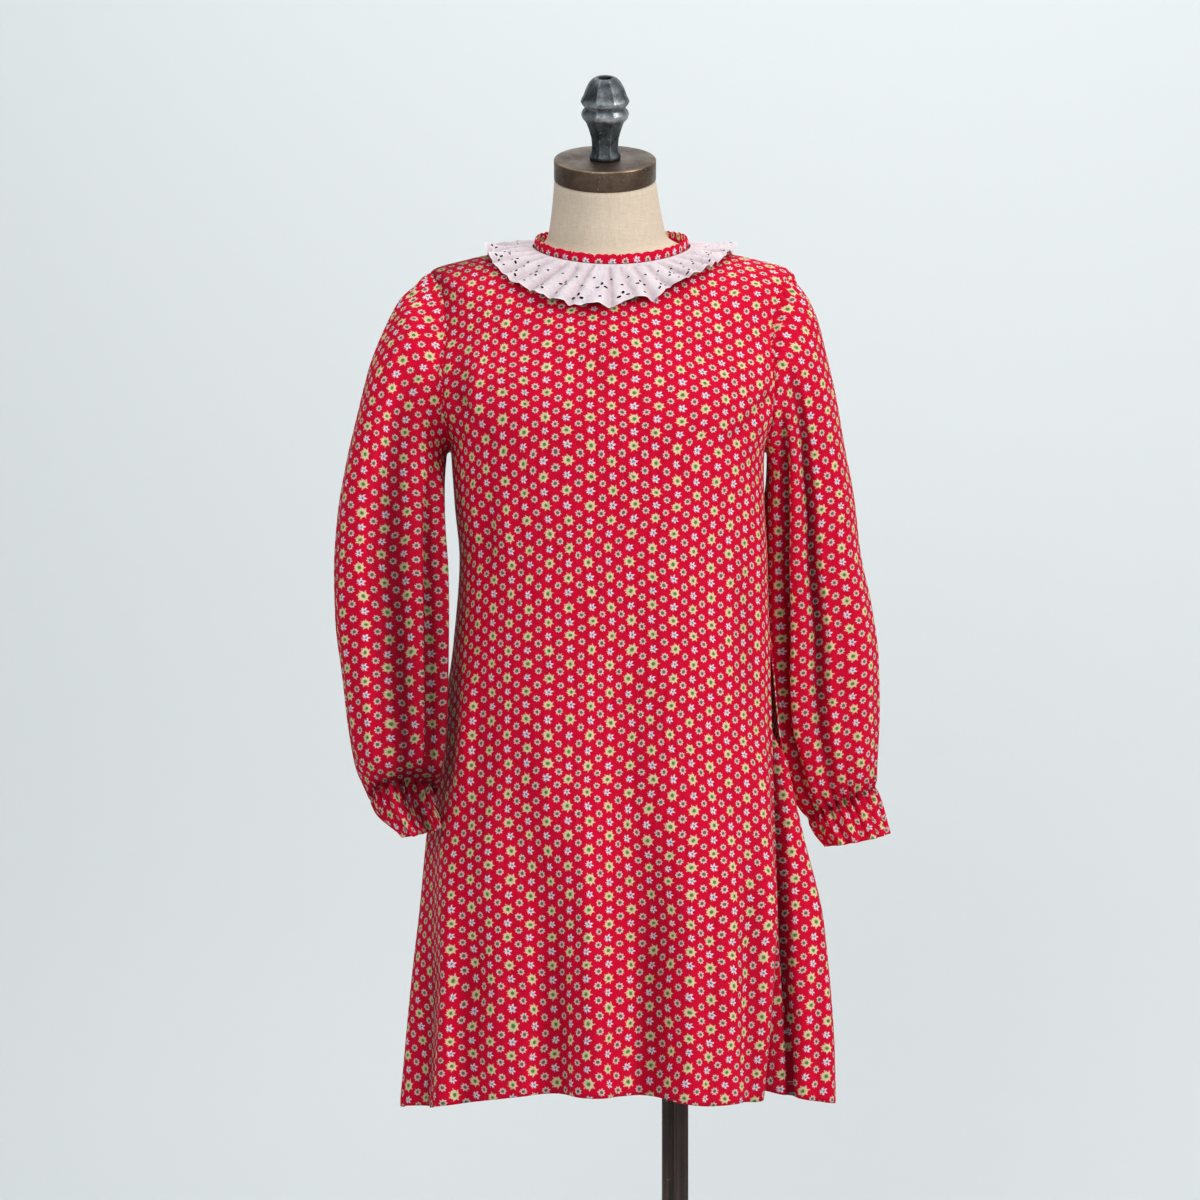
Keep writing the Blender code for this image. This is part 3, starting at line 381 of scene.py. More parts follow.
# ================================================================ shape functions
def smooth_table(rows, knots):
    """A function of distance that reads a table's columns smoothly, with no overshoot.

    Each column is a cubic between rows whose slope at a row is the harmonic mean of the slopes
    beside it, or 0 where they differ in sign.
    """
    table = np.array(rows, float)
    steps = np.diff(knots)[:, None]
    slopes = np.diff(table, axis=0) / steps
    same = slopes[1:] * slopes[:-1] > 0
    middle = np.where(same, 2.0 / (1.0 / np.where(same, slopes[1:], 1.0)
                                   + 1.0 / np.where(same, slopes[:-1], 1.0)), 0.0)
    tangents = np.vstack([slopes[:1], middle, slopes[-1:]])

    def read(distance):
        at = np.clip(np.asarray(distance, float), knots[0], knots[-1])
        cell = np.clip(np.searchsorted(knots, at, side="right") - 1, 0, len(knots) - 2)
        step = np.diff(knots)[cell][..., None]
        f = ((at - knots[cell])[..., None]) / step
        low, high = table[cell], table[cell + 1]
        return ((2 * f**3 - 3 * f**2 + 1) * low + (f**3 - 2 * f**2 + f) * step * tangents[cell]
                + (3 * f**2 - 2 * f**3) * high + (f**3 - f**2) * step * tangents[cell + 1])

    return read


def lengths_along(x, z):
    """Running length of a line through points, starting at 0."""
    return np.concatenate([[0.0], np.cumsum(np.hypot(np.diff(x), np.diff(z)))])


def boxier(rows):
    """Body rows with the flatter front that the cloth has, where they are roundest."""
    return tuple((*row[:-1], row[-1] + CLOTH_BOXIER * (row[-1] > 2.0)) for row in rows)


BODY = np.array(BODY_ROWS)
BODY_KNOTS = lengths_along(BODY[:, 1], BODY[:, 0])
BODY_TABLE = smooth_table(boxier(BODY_ROWS), BODY_KNOTS)
TIP_AT, UNDERARM_AT, HEM_AT = BODY_KNOTS[TIP_ROW], BODY_KNOTS[UNDERARM_ROW], BODY_KNOTS[-1]


def rounded(angle, power):
    """Sine and cosine of a turn round the oval |x|^p + |y|^p = 1 in place of a circle."""
    sine, cosine = np.sin(angle), np.cos(angle)
    reach = (np.abs(sine)**power + np.abs(cosine)**power) ** (-1.0 / power)
    return reach * sine, reach * cosine


def ring_points(columns, angle):
    """Points of rounded ovals, seen from above, through side, front and back.

    The height is the side's plus a term in cos(angle) and one in its square, so that it meets
    the heights at centre front and centre back.
    """
    side_z, half_width, centre_x, front_y, front_z, back_y, back_z, power = np.moveaxis(
        columns, -1, 0)
    across, forward = rounded(angle, power)
    cosine = np.cos(angle)
    x = centre_x + half_width * across
    y = (front_y + back_y) / 2 - (back_y - front_y) / 2 * forward
    z = (side_z + (front_z - back_z) / 2 * cosine
         + ((front_z + back_z) / 2 - side_z) * cosine**2)
    return np.stack([x, y, z], axis=-1)


def bump(offset, half):
    """A soft hump, 1 in the middle and 0 beyond twice its half width."""
    return np.where(np.abs(offset) < 2 * half, np.cos(offset / half * math.pi / 4)**2, 0.0)


def degrees_from(middle, angle):
    """How many degrees an angle in radians lies from a middle in degrees, the short way round."""
    return (np.degrees(angle) - middle + 180.0) % 360.0 - 180.0


def fold_reach(angle, side_z):
    """How far the skirt's large folds stand out and how far they hang down."""
    out = np.zeros(np.broadcast(angle, side_z).shape)
    drop = np.zeros(out.shape)
    for row in FOLD_ROWS:
        fold = Fold(*row)
        down = np.clip((fold.start_z - side_z) / (fold.start_z - BODY_ROWS[-1][0]), 0.0, 1.0)
        middle = fold.hem_deg + (fold.top_deg - fold.hem_deg) * (1 - down)**FOLD_SWING
        hump = down**FOLD_GROWTH * bump(degrees_from(middle, angle), fold.half_deg)
        out = out + fold.depth * hump
        drop = drop + fold.hem_drop * hump
    return out, drop


def body_points(angle, distance):
    """Points of the dress body's outer face at angles and distances from the neck seam."""
    columns = BODY_TABLE(distance)
    angle = np.broadcast_to(angle, columns.shape[:-1])
    points = ring_points(columns, angle)
    out, drop = fold_reach(angle, columns[..., 0])
    points[..., 0] += out * np.sin(angle)
    points[..., 1] -= out * np.cos(angle)
    points[..., 2] -= drop
    return points


def body_normals(angle, distance):
    """Unit normals of the body's outer face, from small steps along it."""
    across = body_points(angle + 0.01, distance) - body_points(angle - 0.01, distance)
    down = body_points(angle, distance + 1.0) - body_points(angle, distance)
    return unit(np.cross(across, -down))


def unit(vectors):
    """Vectors scaled to length 1."""
    return vectors / np.maximum(np.linalg.norm(vectors, axis=-1, keepdims=True), 1e-9)


def grid_normals(points, closed=False):
    """Unit normals of a grid whose rows run down and whose columns run anticlockwise."""
    if closed:
        across = np.roll(points, -1, axis=1) - np.roll(points, 1, axis=1)
    else:
        across = np.gradient(points, axis=1)
    return unit(np.cross(np.gradient(points, axis=0), across))


def seen_at(points):
    """Where points in millimetres fall in the photograph, in its pixels."""
    focal = CAMERA_LENS / CAMERA_SENSOR * PHOTO_SIZE
    away = points[..., 1] - CAMERA_AT[1] / MM
    x = PHOTO_SIZE / 2 + (points[..., 0] - CAMERA_AT[0] / MM) / away * focal
    y = PHOTO_SIZE / 2 - (points[..., 2] - CAMERA_AT[2] / MM) / away * focal
    return x, y


def crease_height(rows, x, y):
    """The height of straight creases at picture points: a hump across, fading along to its ends."""
    total = np.zeros(x.shape)
    for row in rows:
        crease = Crease(*row)
        dx, dy = crease.x1 - crease.x0, crease.y1 - crease.y0
        length = math.hypot(dx, dy)
        along = ((x - crease.x0) * dx + (y - crease.y0) * dy) / length**2
        across = ((x - crease.x0) * dy - (y - crease.y0) * dx) / length
        inside = np.clip(along, 0.0, 1.0)
        fade_in = np.where(crease.fade0, np.sin(np.clip(inside * 2, 0, 1) * math.pi / 2)**2, 1.0)
        fade_out = np.where(
            crease.fade1, np.sin(np.clip(2 - inside * 2, 0, 1) * math.pi / 2)**2, 1.0)
        beyond = np.abs(along - inside) * length
        total += crease.depth * bump(across, crease.half) * fade_in * fade_out * bump(beyond, 6.0)
    return total


def armhole_angle(distance):
    """How far the armhole's edge stands from the side, in radians: half an ellipse."""
    middle, half = (TIP_AT + UNDERARM_AT) / 2, (UNDERARM_AT - TIP_AT) / 2
    inside = np.clip(1 - ((distance - middle) / half)**2, 0.0, 1.0)
    return math.radians(ARMHOLE_DEG) * np.sqrt(inside)


def body_rows(shoulder, armhole, skirt):
    """Distances from the neck of a panel's rows, closer together at the ends of the armhole."""
    turn = np.linspace(0.0, math.pi, armhole + 1)
    middle, half = (TIP_AT + UNDERARM_AT) / 2, (UNDERARM_AT - TIP_AT) / 2
    return np.concatenate([
        np.linspace(0.0, TIP_AT, shoulder + 1)[:-1], middle - half * np.cos(turn),
        np.linspace(UNDERARM_AT, HEM_AT, skirt + 1)[1:]])


def lengths_down(angle, distance):
    """How far down the cloth each point lies below the underarm line at centre front.

    The lengths down the side, centre front and centre back are measured along their lines, and
    other angles blend them by the squares of sine and cosine.
    """
    fine = np.linspace(0.0, HEM_AT, 600)
    table = BODY_TABLE(fine)
    lines = []
    for across, height in ((1, 0), (3, 4), (5, 6)):
        along = lengths_along(table[:, across], table[:, height])
        start = np.interp(UNDERARM_AT, fine, along)
        drop = BODY[UNDERARM_ROW, 4] - BODY[UNDERARM_ROW, height]
        lines.append(np.interp(distance, fine, along - start + drop))
    ends = np.where(np.cos(angle) > 0, lines[1], lines[2])
    return lines[0] * np.sin(angle)**2 + ends * np.cos(angle)**2


def lengths_round(points, down, zero_column):
    """Running width round each row: what is left of each step's length after its step down."""
    steps = np.linalg.norm(np.diff(points, axis=1), axis=-1)
    wide = np.sqrt(np.maximum(steps**2 - np.diff(down, axis=1)**2, (0.25 * steps)**2))
    total = np.concatenate([np.zeros((len(points), 1)), np.cumsum(wide, axis=1)], axis=1)
    return total - total[:, zero_column][:, None]


def settle_flat(points, flat, spread=None):
    """Lets a flat cut settle until its grid has the lengths that it has on the form.

    Every point is joined to its eight neighbours, and each pass moves the two ends of each join
    part of the way to its true length. Coarse grids settle first, and what they change is passed
    on to the finer ones, read linearly between their points.
    """
    high, wide = flat.shape[:2]
    spread = np.ones(high) if spread is None else spread
    for stride, passes in ((10, 700), (5, 260), (3, 60)):
        rows = np.unique([*range(0, high, stride), high - 1])
        columns = np.unique([*range(0, wide, stride), wide - 1])
        place, cut = points[np.ix_(rows, columns)], flat[np.ix_(rows, columns)]
        start = cut.copy()
        both = slice(None)
        joins = []
        for first, second in (
                ((both, slice(None, -1)), (both, slice(1, None))),
                ((slice(None, -1), both), (slice(1, None), both)),
                ((slice(None, -1), slice(None, -1)), (slice(1, None), slice(1, None))),
                ((slice(None, -1), slice(1, None)), (slice(1, None), slice(None, -1)))):
            way = place[second] - place[first]
            slope = cut[second] - cut[first]
            share = slope[..., 0]**2 / np.maximum((slope**2).sum(-1), 1e-9)
            wider = 1 + (spread[rows][first[0]][:, None] - 1) * share
            joins.append((first, second, np.linalg.norm(way, axis=-1) * wider))
        for _ in range(passes):
            move = np.zeros(cut.shape)
            for first, second, length in joins:
                gap = cut[second] - cut[first]
                now = np.maximum(np.sqrt((gap**2).sum(-1)), 1e-6)
                pull = gap * ((now - length) / now * 0.125)[..., None]
                move[first] += pull
                move[second] -= pull
            cut = cut + move
        down = np.stack([np.interp(np.arange(high), rows, e) for e in np.eye(len(rows))], 1)
        over = np.stack([np.interp(np.arange(wide), columns, e) for e in np.eye(len(columns))], 1)
        flat = flat + np.einsum("ar,rcx,bc->abx", down, cut - start, over)
    return flat


def cone_uv(points, zero_column, down):
    """Where each point lies in the flat pattern piece, in metres.

    Its width round the row from the middle becomes an angle about the apex of a cone, and its
    length down from that apex the radius. That first guess settles to the true lengths, and the
    whole is turned until the middle line has the tilt of the grain.
    """
    radius = CONE_ABOVE_UNDERARM + down
    turn = lengths_round(points, down, zero_column) / radius
    flat = np.stack([radius * np.sin(turn), CONE_ABOVE_UNDERARM - radius * np.cos(turn)], -1)
    flat = settle_flat(points, flat)
    row = len(flat) // 2
    middle = flat[row, zero_column]
    way = flat[-1, zero_column] - flat[row // 2, zero_column]
    turn = math.atan2(way[0], -way[1]) - math.radians(GRAIN_TILT_DEG)
    across, up = (flat - middle)[..., 0], (flat - middle)[..., 1]
    u = across * math.cos(turn) + up * math.sin(turn)
    v = up * math.cos(turn) - across * math.sin(turn)
    return np.stack([u, v], axis=-1) * MM


# ================================================================ meshes
def make_mesh(name, points, faces, uv=None, attributes=None):
    """A smooth-shaded object from points in millimetres, with a UV for each point."""
    mesh = bpy.data.meshes.new(name)
    mesh.from_pydata((points.reshape(-1, 3) * MM).tolist(), [], faces.tolist())
    mesh.shade_smooth()
    if uv is not None:
        loops = np.empty(len(mesh.loops), np.int32)
        mesh.loops.foreach_get("vertex_index", loops)
        layer = mesh.uv_layers.new(name="flat")
        layer.data.foreach_set("uv", uv.reshape(-1, 2)[loops].astype(np.float32).ravel())
    for key, values in (attributes or {}).items():
        layer = mesh.attributes.new(key, "FLOAT", "POINT")
        layer.data.foreach_set("value", values.astype(np.float32).ravel())
    mesh.validate()
    mesh.update()
    thing = bpy.data.objects.new(name, mesh)
    bpy.context.scene.collection.objects.link(thing)
    return thing


def grid_faces(rows, columns, closed=False):
    """Quads of a grid whose columns run anticlockwise seen from above and whose rows run down."""
    number = np.arange(rows * columns).reshape(rows, columns)
    right = np.roll(number, -1, axis=1)
    if not closed:
        number, right = number[:, :-1], right[:, :-1]
    return np.stack([number[:-1], number[1:], right[1:], right[:-1]], axis=-1).reshape(-1, 4)


def finish_piece(thing, material, nodes=(), wall=0.0):
    """Gives a piece its wall and its material in a slot, hangs it under the root body, and hides
    the solids that it stands for.
    """
    if wall:
        shell = thing.modifiers.new("wall", "SOLIDIFY")
        shell.thickness = wall * MM
        shell.offset = -1.0
        shell.use_even_offset = False
    thing.data.materials.clear()
    thing.data.materials.append(material)
    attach(thing, "root")
    if nodes:
        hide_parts(*nodes)
    return thing


def lathe(name, profile, steps, place):
    """A closed surface: a profile of radius and height turned about Z, then moved by a function."""
    radius, height = np.array(profile, float).T
    turn = np.linspace(0.0, 2 * math.pi, steps, endpoint=False)
    points = np.stack([radius[:, None] * np.cos(turn), radius[:, None] * np.sin(turn),
                       np.broadcast_to(height[:, None], (len(radius), steps))], axis=-1)
    # the profile runs up, so the rows are turned over to make the faces point out
    return place(points[::-1]), grid_faces(len(radius), steps, closed=True)


# ================================================================ colours and nodes
def colour(hex_text):
    """A colour from its sRGB hex value, in linear light."""
    parts = np.array([int(hex_text[i:i + 2], 16) for i in (1, 3, 5)]) / 255.0
    linear = np.where(parts <= 0.04045, parts / 12.92, ((parts + 0.055) / 1.055)**2.4)
    return (*linear.tolist(), 1.0)


def add(tree, kind, inputs=None, output=0, **settings):
    """Adds a node with its settings and links, and returns one of its outputs."""
    node = tree.nodes.new(kind)
    for key, value in settings.items():
        setattr(node, key, value)
    for key, value in (inputs or {}).items():
        if isinstance(value, bpy.types.NodeSocket):
            tree.links.new(value, node.inputs[key])
        else:
            node.inputs[key].default_value = value
    return node.outputs[output]


def number(tree, operation, *values):
    """A sum of numbers."""
    return add(tree, "ShaderNodeMath", dict(enumerate(values)), operation=operation)


def vector(tree, operation, *values, output=0):
    """A sum of vectors."""
    return add(tree, "ShaderNodeVectorMath", dict(enumerate(values)), output, operation=operation)


def ramp(tree, value, low, high, to_low=0.0, to_high=1.0, kind="LINEAR"):
    """A number moved from one range to another, and held at its ends."""
    return add(tree, "ShaderNodeMapRange", {0: value, 1: low, 2: high, 3: to_low, 4: to_high},
               interpolation_type=kind)


def noise(tree, where, scale, detail, output=0, rough=0.5):
    """Cloudy noise, from 0 to 1: a number, or with output 1 a colour."""
    return add(tree, "ShaderNodeTexNoise",
               {"Vector": where, "Scale": scale, "Detail": detail, "Roughness": rough}, output)


def mix(tree, factor, first, second):
    """Two colours mixed, each of them a link or a hex value."""
    first, second = (colour(one) if isinstance(one, str) else one for one in (first, second))
    return add(tree, "ShaderNodeMix", {"Factor": factor, "A": first, "B": second}, 2,
               data_type="RGBA")


def attribute(tree, name):
    """A number that the mesh has at each point."""
    return add(tree, "ShaderNodeAttribute", output=2, attribute_name=name)


def new_material(name, roughness, metallic=0.0, ior=1.5, sheen=0.0):
    """A Principled material and its tree and shader."""
    material = bpy.data.materials.new(name)
    material.use_nodes = True
    shader = material.node_tree.nodes["Principled BSDF"]
    shader.inputs["Roughness"].default_value = roughness
    shader.inputs["Metallic"].default_value = metallic
    shader.inputs["IOR"].default_value = ior
    if sheen:
        shader.inputs["Sheen Weight"].default_value = sheen
        shader.inputs["Sheen Roughness"].default_value = 0.5
    return material, material.node_tree, shader


def finish_material(tree, shader, shade, *reliefs):
    """Links a material's colour and relief: heights, their strength and their depth in metres."""
    tree.links.new(shade, shader.inputs["Base Color"])
    normal = {}
    for height, strength, depth in reliefs:
        lift = add(tree, "ShaderNodeBump",
                   {"Strength": strength, "Distance": depth, "Height": height, **normal})
        normal = {"Normal": lift}
    tree.links.new(lift, shader.inputs["Normal"])


# The print: column pitch and flower pitch down a column, and each flower's layers from the ground
# up. A layer reaches radius + swing x hump, where the hump runs from 0 to 1 as the cosine of
# points x turn goes from cut to 1. All in millimetres.
COLUMN_PITCH = 20.7
FLOWER_PITCH = 13.72
Layer = namedtuple("Layer", ("flower", "points", "turn_deg", "radius", "swing", "cut", "hex"))
PRINT_LAYERS = (
    ("yellow", 7, 0.0, 3.9, 2.1, 0.45, "#DDB09A"),
    ("yellow", 8, 20.0, 3.65, 0.95, -1.0, "#E8D0A2"),
    ("yellow", 8, 0.0, 2.0, 0.5, -1.0, "#BBC28C"),
    ("yellow", 8, 0.0, 1.55, 0.0, -1.0, "#567F48"),
    ("white", 6, 0.0, 1.6, 2.6, 0.35, "#DFB4BC"),
    ("white", 5, 18.0, 1.9, 1.75, -0.5, "#EBE2EC"),
    ("white", 5, 54.0, 0.9, 1.0, -0.2, "#A890B0"),
    ("white", 5, 0.0, 0.75, 0.0, -1.0, "#6F7C98"),
    ("cream", 8, 0.0, 2.7, 1.0, -0.8, "#E0C0BA"),
    ("cream", 8, 0.0, 1.6, 0.0, -1.0, "#70604E"),
)
CRIMSON_LIT = "#E60A3C"
CRIMSON_DEEP = "#D6062F"
CRIMSON_THREAD = "#8E0018"
PRINT_EDGE = 0.28


def flower_cells(tree, flat, shift, seed):
    """Splits the flat cloth into cells round flowers: distance from the middle, turn and parity."""
    place = vector(tree, "SUBTRACT", flat, (*shift, 0.0))
    share = vector(tree, "MULTIPLY", place, (1 / COLUMN_PITCH, 1 / FLOWER_PITCH, 0.0))
    cell = vector(tree, "FLOOR", vector(tree, "ADD", share, (0.5, 0.5, 0.5)))
    local = vector(tree, "MULTIPLY", vector(tree, "SUBTRACT", share, cell),
                   (COLUMN_PITCH, FLOWER_PITCH, 0.0))
    across, up = (add(tree, "ShaderNodeSeparateXYZ", {0: local}, part) for part in (0, 1))
    count = vector(tree, "DOT_PRODUCT", cell, (1.0, 1.0, 0.0), output=1)
    chance = add(tree, "ShaderNodeTexWhiteNoise",
                 {"Vector": vector(tree, "ADD", cell, (seed, seed, seed))}, noise_dimensions="3D")
    away = number(tree, "MULTIPLY", vector(tree, "LENGTH", local, output=1),
                  ramp(tree, chance, 0.0, 1.0, 0.94, 1.07))
    turn = number(tree, "ADD", number(tree, "ARCTAN2", up, across),
                  ramp(tree, chance, 0.0, 1.0, -0.35, 0.35))
    return away, turn, number(tree, "FLOORED_MODULO", count, 2.0)


def layer_mask(tree, layer, away, turn):
    """How much of a layer covers a point: 1 inside its outline and 0 outside, with a soft edge."""
    reach = layer.radius
    if layer.swing:
        wave = number(tree, "COSINE", number(tree, "MULTIPLY_ADD", turn, float(layer.points),
                                             math.radians(layer.turn_deg)))
        reach = ramp(tree, wave, layer.cut, 1.0, layer.radius, layer.radius + layer.swing)
    return ramp(tree, number(tree, "SUBTRACT", reach, away), -PRINT_EDGE, PRINT_EDGE)


def printed_cotton():
    """Plain-woven dress cotton, crimson and matt, printed with small flowers.

    Even columns alternate yellow and white flowers and odd columns hold small cream ones. The
    threads are really 0.25 mm apart and are drawn 0.9 mm apart so that they show.
    """
    material, tree, shader = new_material("printed_cotton", 0.86, ior=1.45)
    shader.inputs["Specular IOR Level"].default_value = 0.12
    flat = add(tree, "ShaderNodeUVMap", uv_map="flat")
    in_mm = vector(tree, "MULTIPLY", flat, (1000.0, 1000.0, 0.0))
    # the flowers' edges are ragged, and their rows wander a little as the cloth eases
    ragged = vector(tree, "MULTIPLY_ADD", noise(tree, in_mm, 0.55, 1.0, 1), (1.1,) * 3,
                    (-0.55,) * 3)
    wander = vector(tree, "MULTIPLY_ADD", noise(tree, in_mm, 0.013, 1.0, 1), (16.0, 16.0, 0.0),
                    (-8.0, -8.0, 0.0))
    drawn = vector(tree, "ADD", vector(tree, "ADD", in_mm, ragged), wander)
    even = flower_cells(tree, drawn, (0.0, 0.0), 3.0)
    odd = flower_cells(tree, drawn, (COLUMN_PITCH / 2, FLOWER_PITCH / 2), 11.0)
    chosen = {"white": even[2], "yellow": number(tree, "SUBTRACT", 1.0, even[2])}
    thread = noise(tree, in_mm, 1.1, 2.0)
    shade = mix(tree, noise(tree, in_mm, 0.02, 3.0), CRIMSON_DEEP, CRIMSON_LIT)
    shade = mix(tree, ramp(tree, thread, 0.42, 0.66, 0.0, 0.4), shade, CRIMSON_THREAD)
    for row in PRINT_LAYERS:
        layer = Layer(*row)
        away, turn, _ = even if layer.flower in chosen else odd
        mask = layer_mask(tree, layer, away, turn)
        if layer.flower in chosen:
            mask = number(tree, "MULTIPLY", mask, chosen[layer.flower])
        shade = mix(tree, mask, shade, layer.hex)
    # painted shade: the colour is darkened deep in a fold, or where the cloth faces other cloth
    # close by, as if little light came back
    shade = mix(tree, ramp(tree, attribute(tree, "painted_shade"), 0.0, 1.0, 0.0, HOLLOW_SHADE), shade,
                "#1C0004")
    long = add(tree, "ShaderNodeMapping", {"Vector": drawn, "Scale": (0.11, 0.035, 1.0)})
    finish_material(tree, shader, shade, (noise(tree, long, 1.0, 3.0), 1.0, 0.0038),
                    (thread, 0.4, 0.0005))
    return material


def eyelet_cotton():
    """Thin white embroidered cotton: each eyelet has a raised satin-stitched rim."""
    material, tree, shader = new_material("eyelet_cotton", 0.9, ior=1.45, sheen=0.1)
    near = ramp(tree, attribute(tree, "rim"), 0.0, 1.1, 1.0, 0.0, "SMOOTHSTEP")
    bound = ramp(tree, attribute(tree, "edge"), 0.0, 2.2, 1.0, 0.0, "SMOOTHSTEP")
    stitched = number(tree, "MAXIMUM", near, bound)
    flat = add(tree, "ShaderNodeUVMap", uv_map="flat")
    # the white cotton is painted a pinkish grey all over: painted light, as if the red dress showed
    # through the thin cloth
    shade = mix(tree, noise(tree, flat, 26.0, 3.0), "#DACACF", "#E6DCE0")
    shade = mix(tree, stitched, shade, "#EFE8EA")
    # painted shade in the ruffle's pinched valleys
    shade = mix(tree, ramp(tree, attribute(tree, "painted_shade"), 0.0, 1.0, 0.0, 0.42), shade, "#A88A90")
    height = number(tree, "MULTIPLY_ADD", stitched, 2.5, noise(tree, flat, 900.0, 2.0))
    finish_material(tree, shader, shade, (noise(tree, flat, 75.0, 3.0), 1.0, 0.0045),
                    (height, 0.35, 0.0004))
    return material


def form_linen():
    """Natural linen: slubby threads both ways, really 0.6 mm apart and drawn at 1.2 mm."""
    material, tree, shader = new_material("form_linen", 0.92, ior=1.45, sheen=0.1)
    where = add(tree, "ShaderNodeTexCoord", output=3)
    weft, warp = (
        noise(tree, add(tree, "ShaderNodeMapping", {"Vector": where, "Scale": scale}), 1.0, 2.0)
        for scale in ((160.0, 160.0, 1100.0), (1100.0, 1100.0, 110.0)))
    weave = ramp(tree, number(tree, "ADD", weft, warp), 0.7, 1.3)
    shade = mix(tree, noise(tree, where, 14.0, 3.0), "#D9C6B0", "#E8D8C4")
    finish_material(tree, shader, mix(tree, weave, shade, "#D2BFA8"), (weave, 0.3, 0.0005))
    return material


def cast_metal(name, dark, light, pale_tone, roughness, metallic, grain):
    """Old cast or spun metal: mottled, a little pitted, with a painted highlight along its edges
    and painted shade inside a hole.
    """
    material, tree, shader = new_material(name, roughness, metallic=metallic)
    where = add(tree, "ShaderNodeTexCoord", output=3)
    cloudy = ramp(tree, noise(tree, where, grain, 5.0, rough=0.65), 0.35, 0.68)
    painted_highlight_and_shade = attribute(tree, "painted_highlight_and_shade")
    shade = mix(tree, cloudy, dark, light)
    # painted highlight: lighter where the attribute marks an edge
    shade = mix(tree, number(tree, "MULTIPLY", painted_highlight_and_shade, cloudy), shade, pale_tone)
    shade = mix(tree, ramp(tree, noise(tree, where, 420.0, 2.0), 0.66, 0.72, 0.0, 0.6), shade, pale_tone)
    # painted shade: inside a hole it is nearly black
    shade = mix(tree, ramp(tree, painted_highlight_and_shade, -0.9, -0.1, 0.9, 0.0), shade, "#08090A")
    tree.links.new(ramp(tree, cloudy, 0.0, 1.0, roughness + 0.1, roughness - 0.08),
                   shader.inputs["Roughness"])
    finish_material(tree, shader, shade, (noise(tree, where, 900.0, 3.0), 0.25, 0.0005))
    return material


def dark_wood():
    """Stained hardwood: long grain down the post, with small pale chips on its edges."""
    material, tree, shader = new_material("post_wood", 0.5)
    where = add(tree, "ShaderNodeTexCoord", output=3)
    long = add(tree, "ShaderNodeMapping", {"Vector": where, "Scale": (220.0, 220.0, 8.0)})
    grain = ramp(tree, noise(tree, long, 1.0, 4.0), 0.35, 0.65)
    chips = ramp(tree, noise(tree, where, 120.0, 2.0), 0.70, 0.74)
    shade = mix(tree, chips, mix(tree, grain, "#1E120D", "#4A3226"), "#9B7F66")
    finish_material(tree, shader, shade, (grain, 0.3, 0.0004))
    return material


# ================================================================ pieces
def panel_columns(count):
    """Shares across a panel, with a narrow column at each edge for the turned-in seam."""
    inner = np.linspace(0.0, 1.0, count - 2)
    return np.concatenate([[0.0, 0.004], inner[1:-1], [0.996, 1.0]])


def dress_panel(name, first, last, count, zero_column, rows, creases, mirror, cotton, node):
    """A panel of the dress between two edge angles, creased, with its seams turned in."""
    share = panel_columns(count)
    angle = first[:, None] * (1 - share) + last[:, None] * share
    distance = np.broadcast_to(rows[:, None], angle.shape)
    points = body_points(angle, distance)
    x, y = seen_at(points)
    if mirror:
        x = PHOTO_SIZE - x
    height = crease_height(creases, x, y)
    edge_dip = np.zeros(angle.shape)
    edge_dip[:, [0, -1]] = -SEAM_TURN
    edge_dip[-1] -= HEM_TURN
    points = points + grid_normals(points) * (height + edge_dip)[..., None]
    uv = cone_uv(points, zero_column, lengths_down(angle, distance))
    large, _ = fold_reach(angle, BODY_TABLE(distance)[..., 0])
    # painted shade: darker where the cloth faces the left sleeve, in deep creases and folds, and
    # under the ruffle
    beside = np.clip((np.abs(np.degrees(angle) + 90) - 32) / -26, 0, 1)
    beside = beside * np.clip((points[..., 2] - 780) / 120, 0, 1)
    painted_shade = np.clip(-height / CREASE_SHADED - large / FOLD_SHADED, 0, 1) + BESIDE_SLEEVE * beside
    painted_shade += UNDER_RUFFLE * np.clip((ruffle_reach(angle) - 8 - distance) / 6, 0, 1)
    thing = make_mesh(name, points, grid_faces(*angle.shape), uv, {"painted_shade": painted_shade})
    return finish_piece(thing, cotton, (node,), CLOTH_WALL)


def make_dress(cotton):
    """The front in one piece and the two backs."""
    rows = body_rows(26, 64, 116)
    half_gap = SEAM_HALF_GAP / BODY_TABLE(rows)[:, 1]
    side = math.pi / 2 - armhole_angle(rows) - half_gap
    behind = math.pi / 2 + armhole_angle(rows) + half_gap
    slit = np.clip(1 - rows / BACK_SLIT_LENGTH, 0.0, 1.0)
    middle = math.pi - (SEAM_HALF_GAP + BACK_SLIT_GAP / 2 * slit) / BODY_TABLE(rows)[:, 1]
    front = dress_panel("front_panel", -side, side, 221, 110, rows, FRONT_CREASES, False, cotton,
                        "dress_front")
    right = dress_panel("back_panel_right", behind, middle, 111, 110, rows, BACK_CREASES, True,
                        cotton, "dress_back_right")
    left = dress_panel("back_panel_left", -middle, -behind, 111, 0, rows, BACK_CREASES, True,
                       cotton, "dress_back_left")


def sleeve_ring(columns, turn):
    """Rounded ovals through a sleeve's outer and inner points, front and back."""
    ring = SleeveRing(*np.moveaxis(columns, -1, 0)[..., None])
    over, across = rounded(turn, SLEEVE_RING_POWER)
    x = (ring.outer_x + ring.inner_x) / 2 + (ring.outer_x - ring.inner_x) / 2 * across
    y = ring.centre_y - ring.half_depth * over
    z = ((ring.outer_z + ring.inner_z) / 2 + (ring.outer_z - ring.inner_z) / 2 * across
         + ring.tilt * over)
    return np.stack([x, y, z], axis=-1)


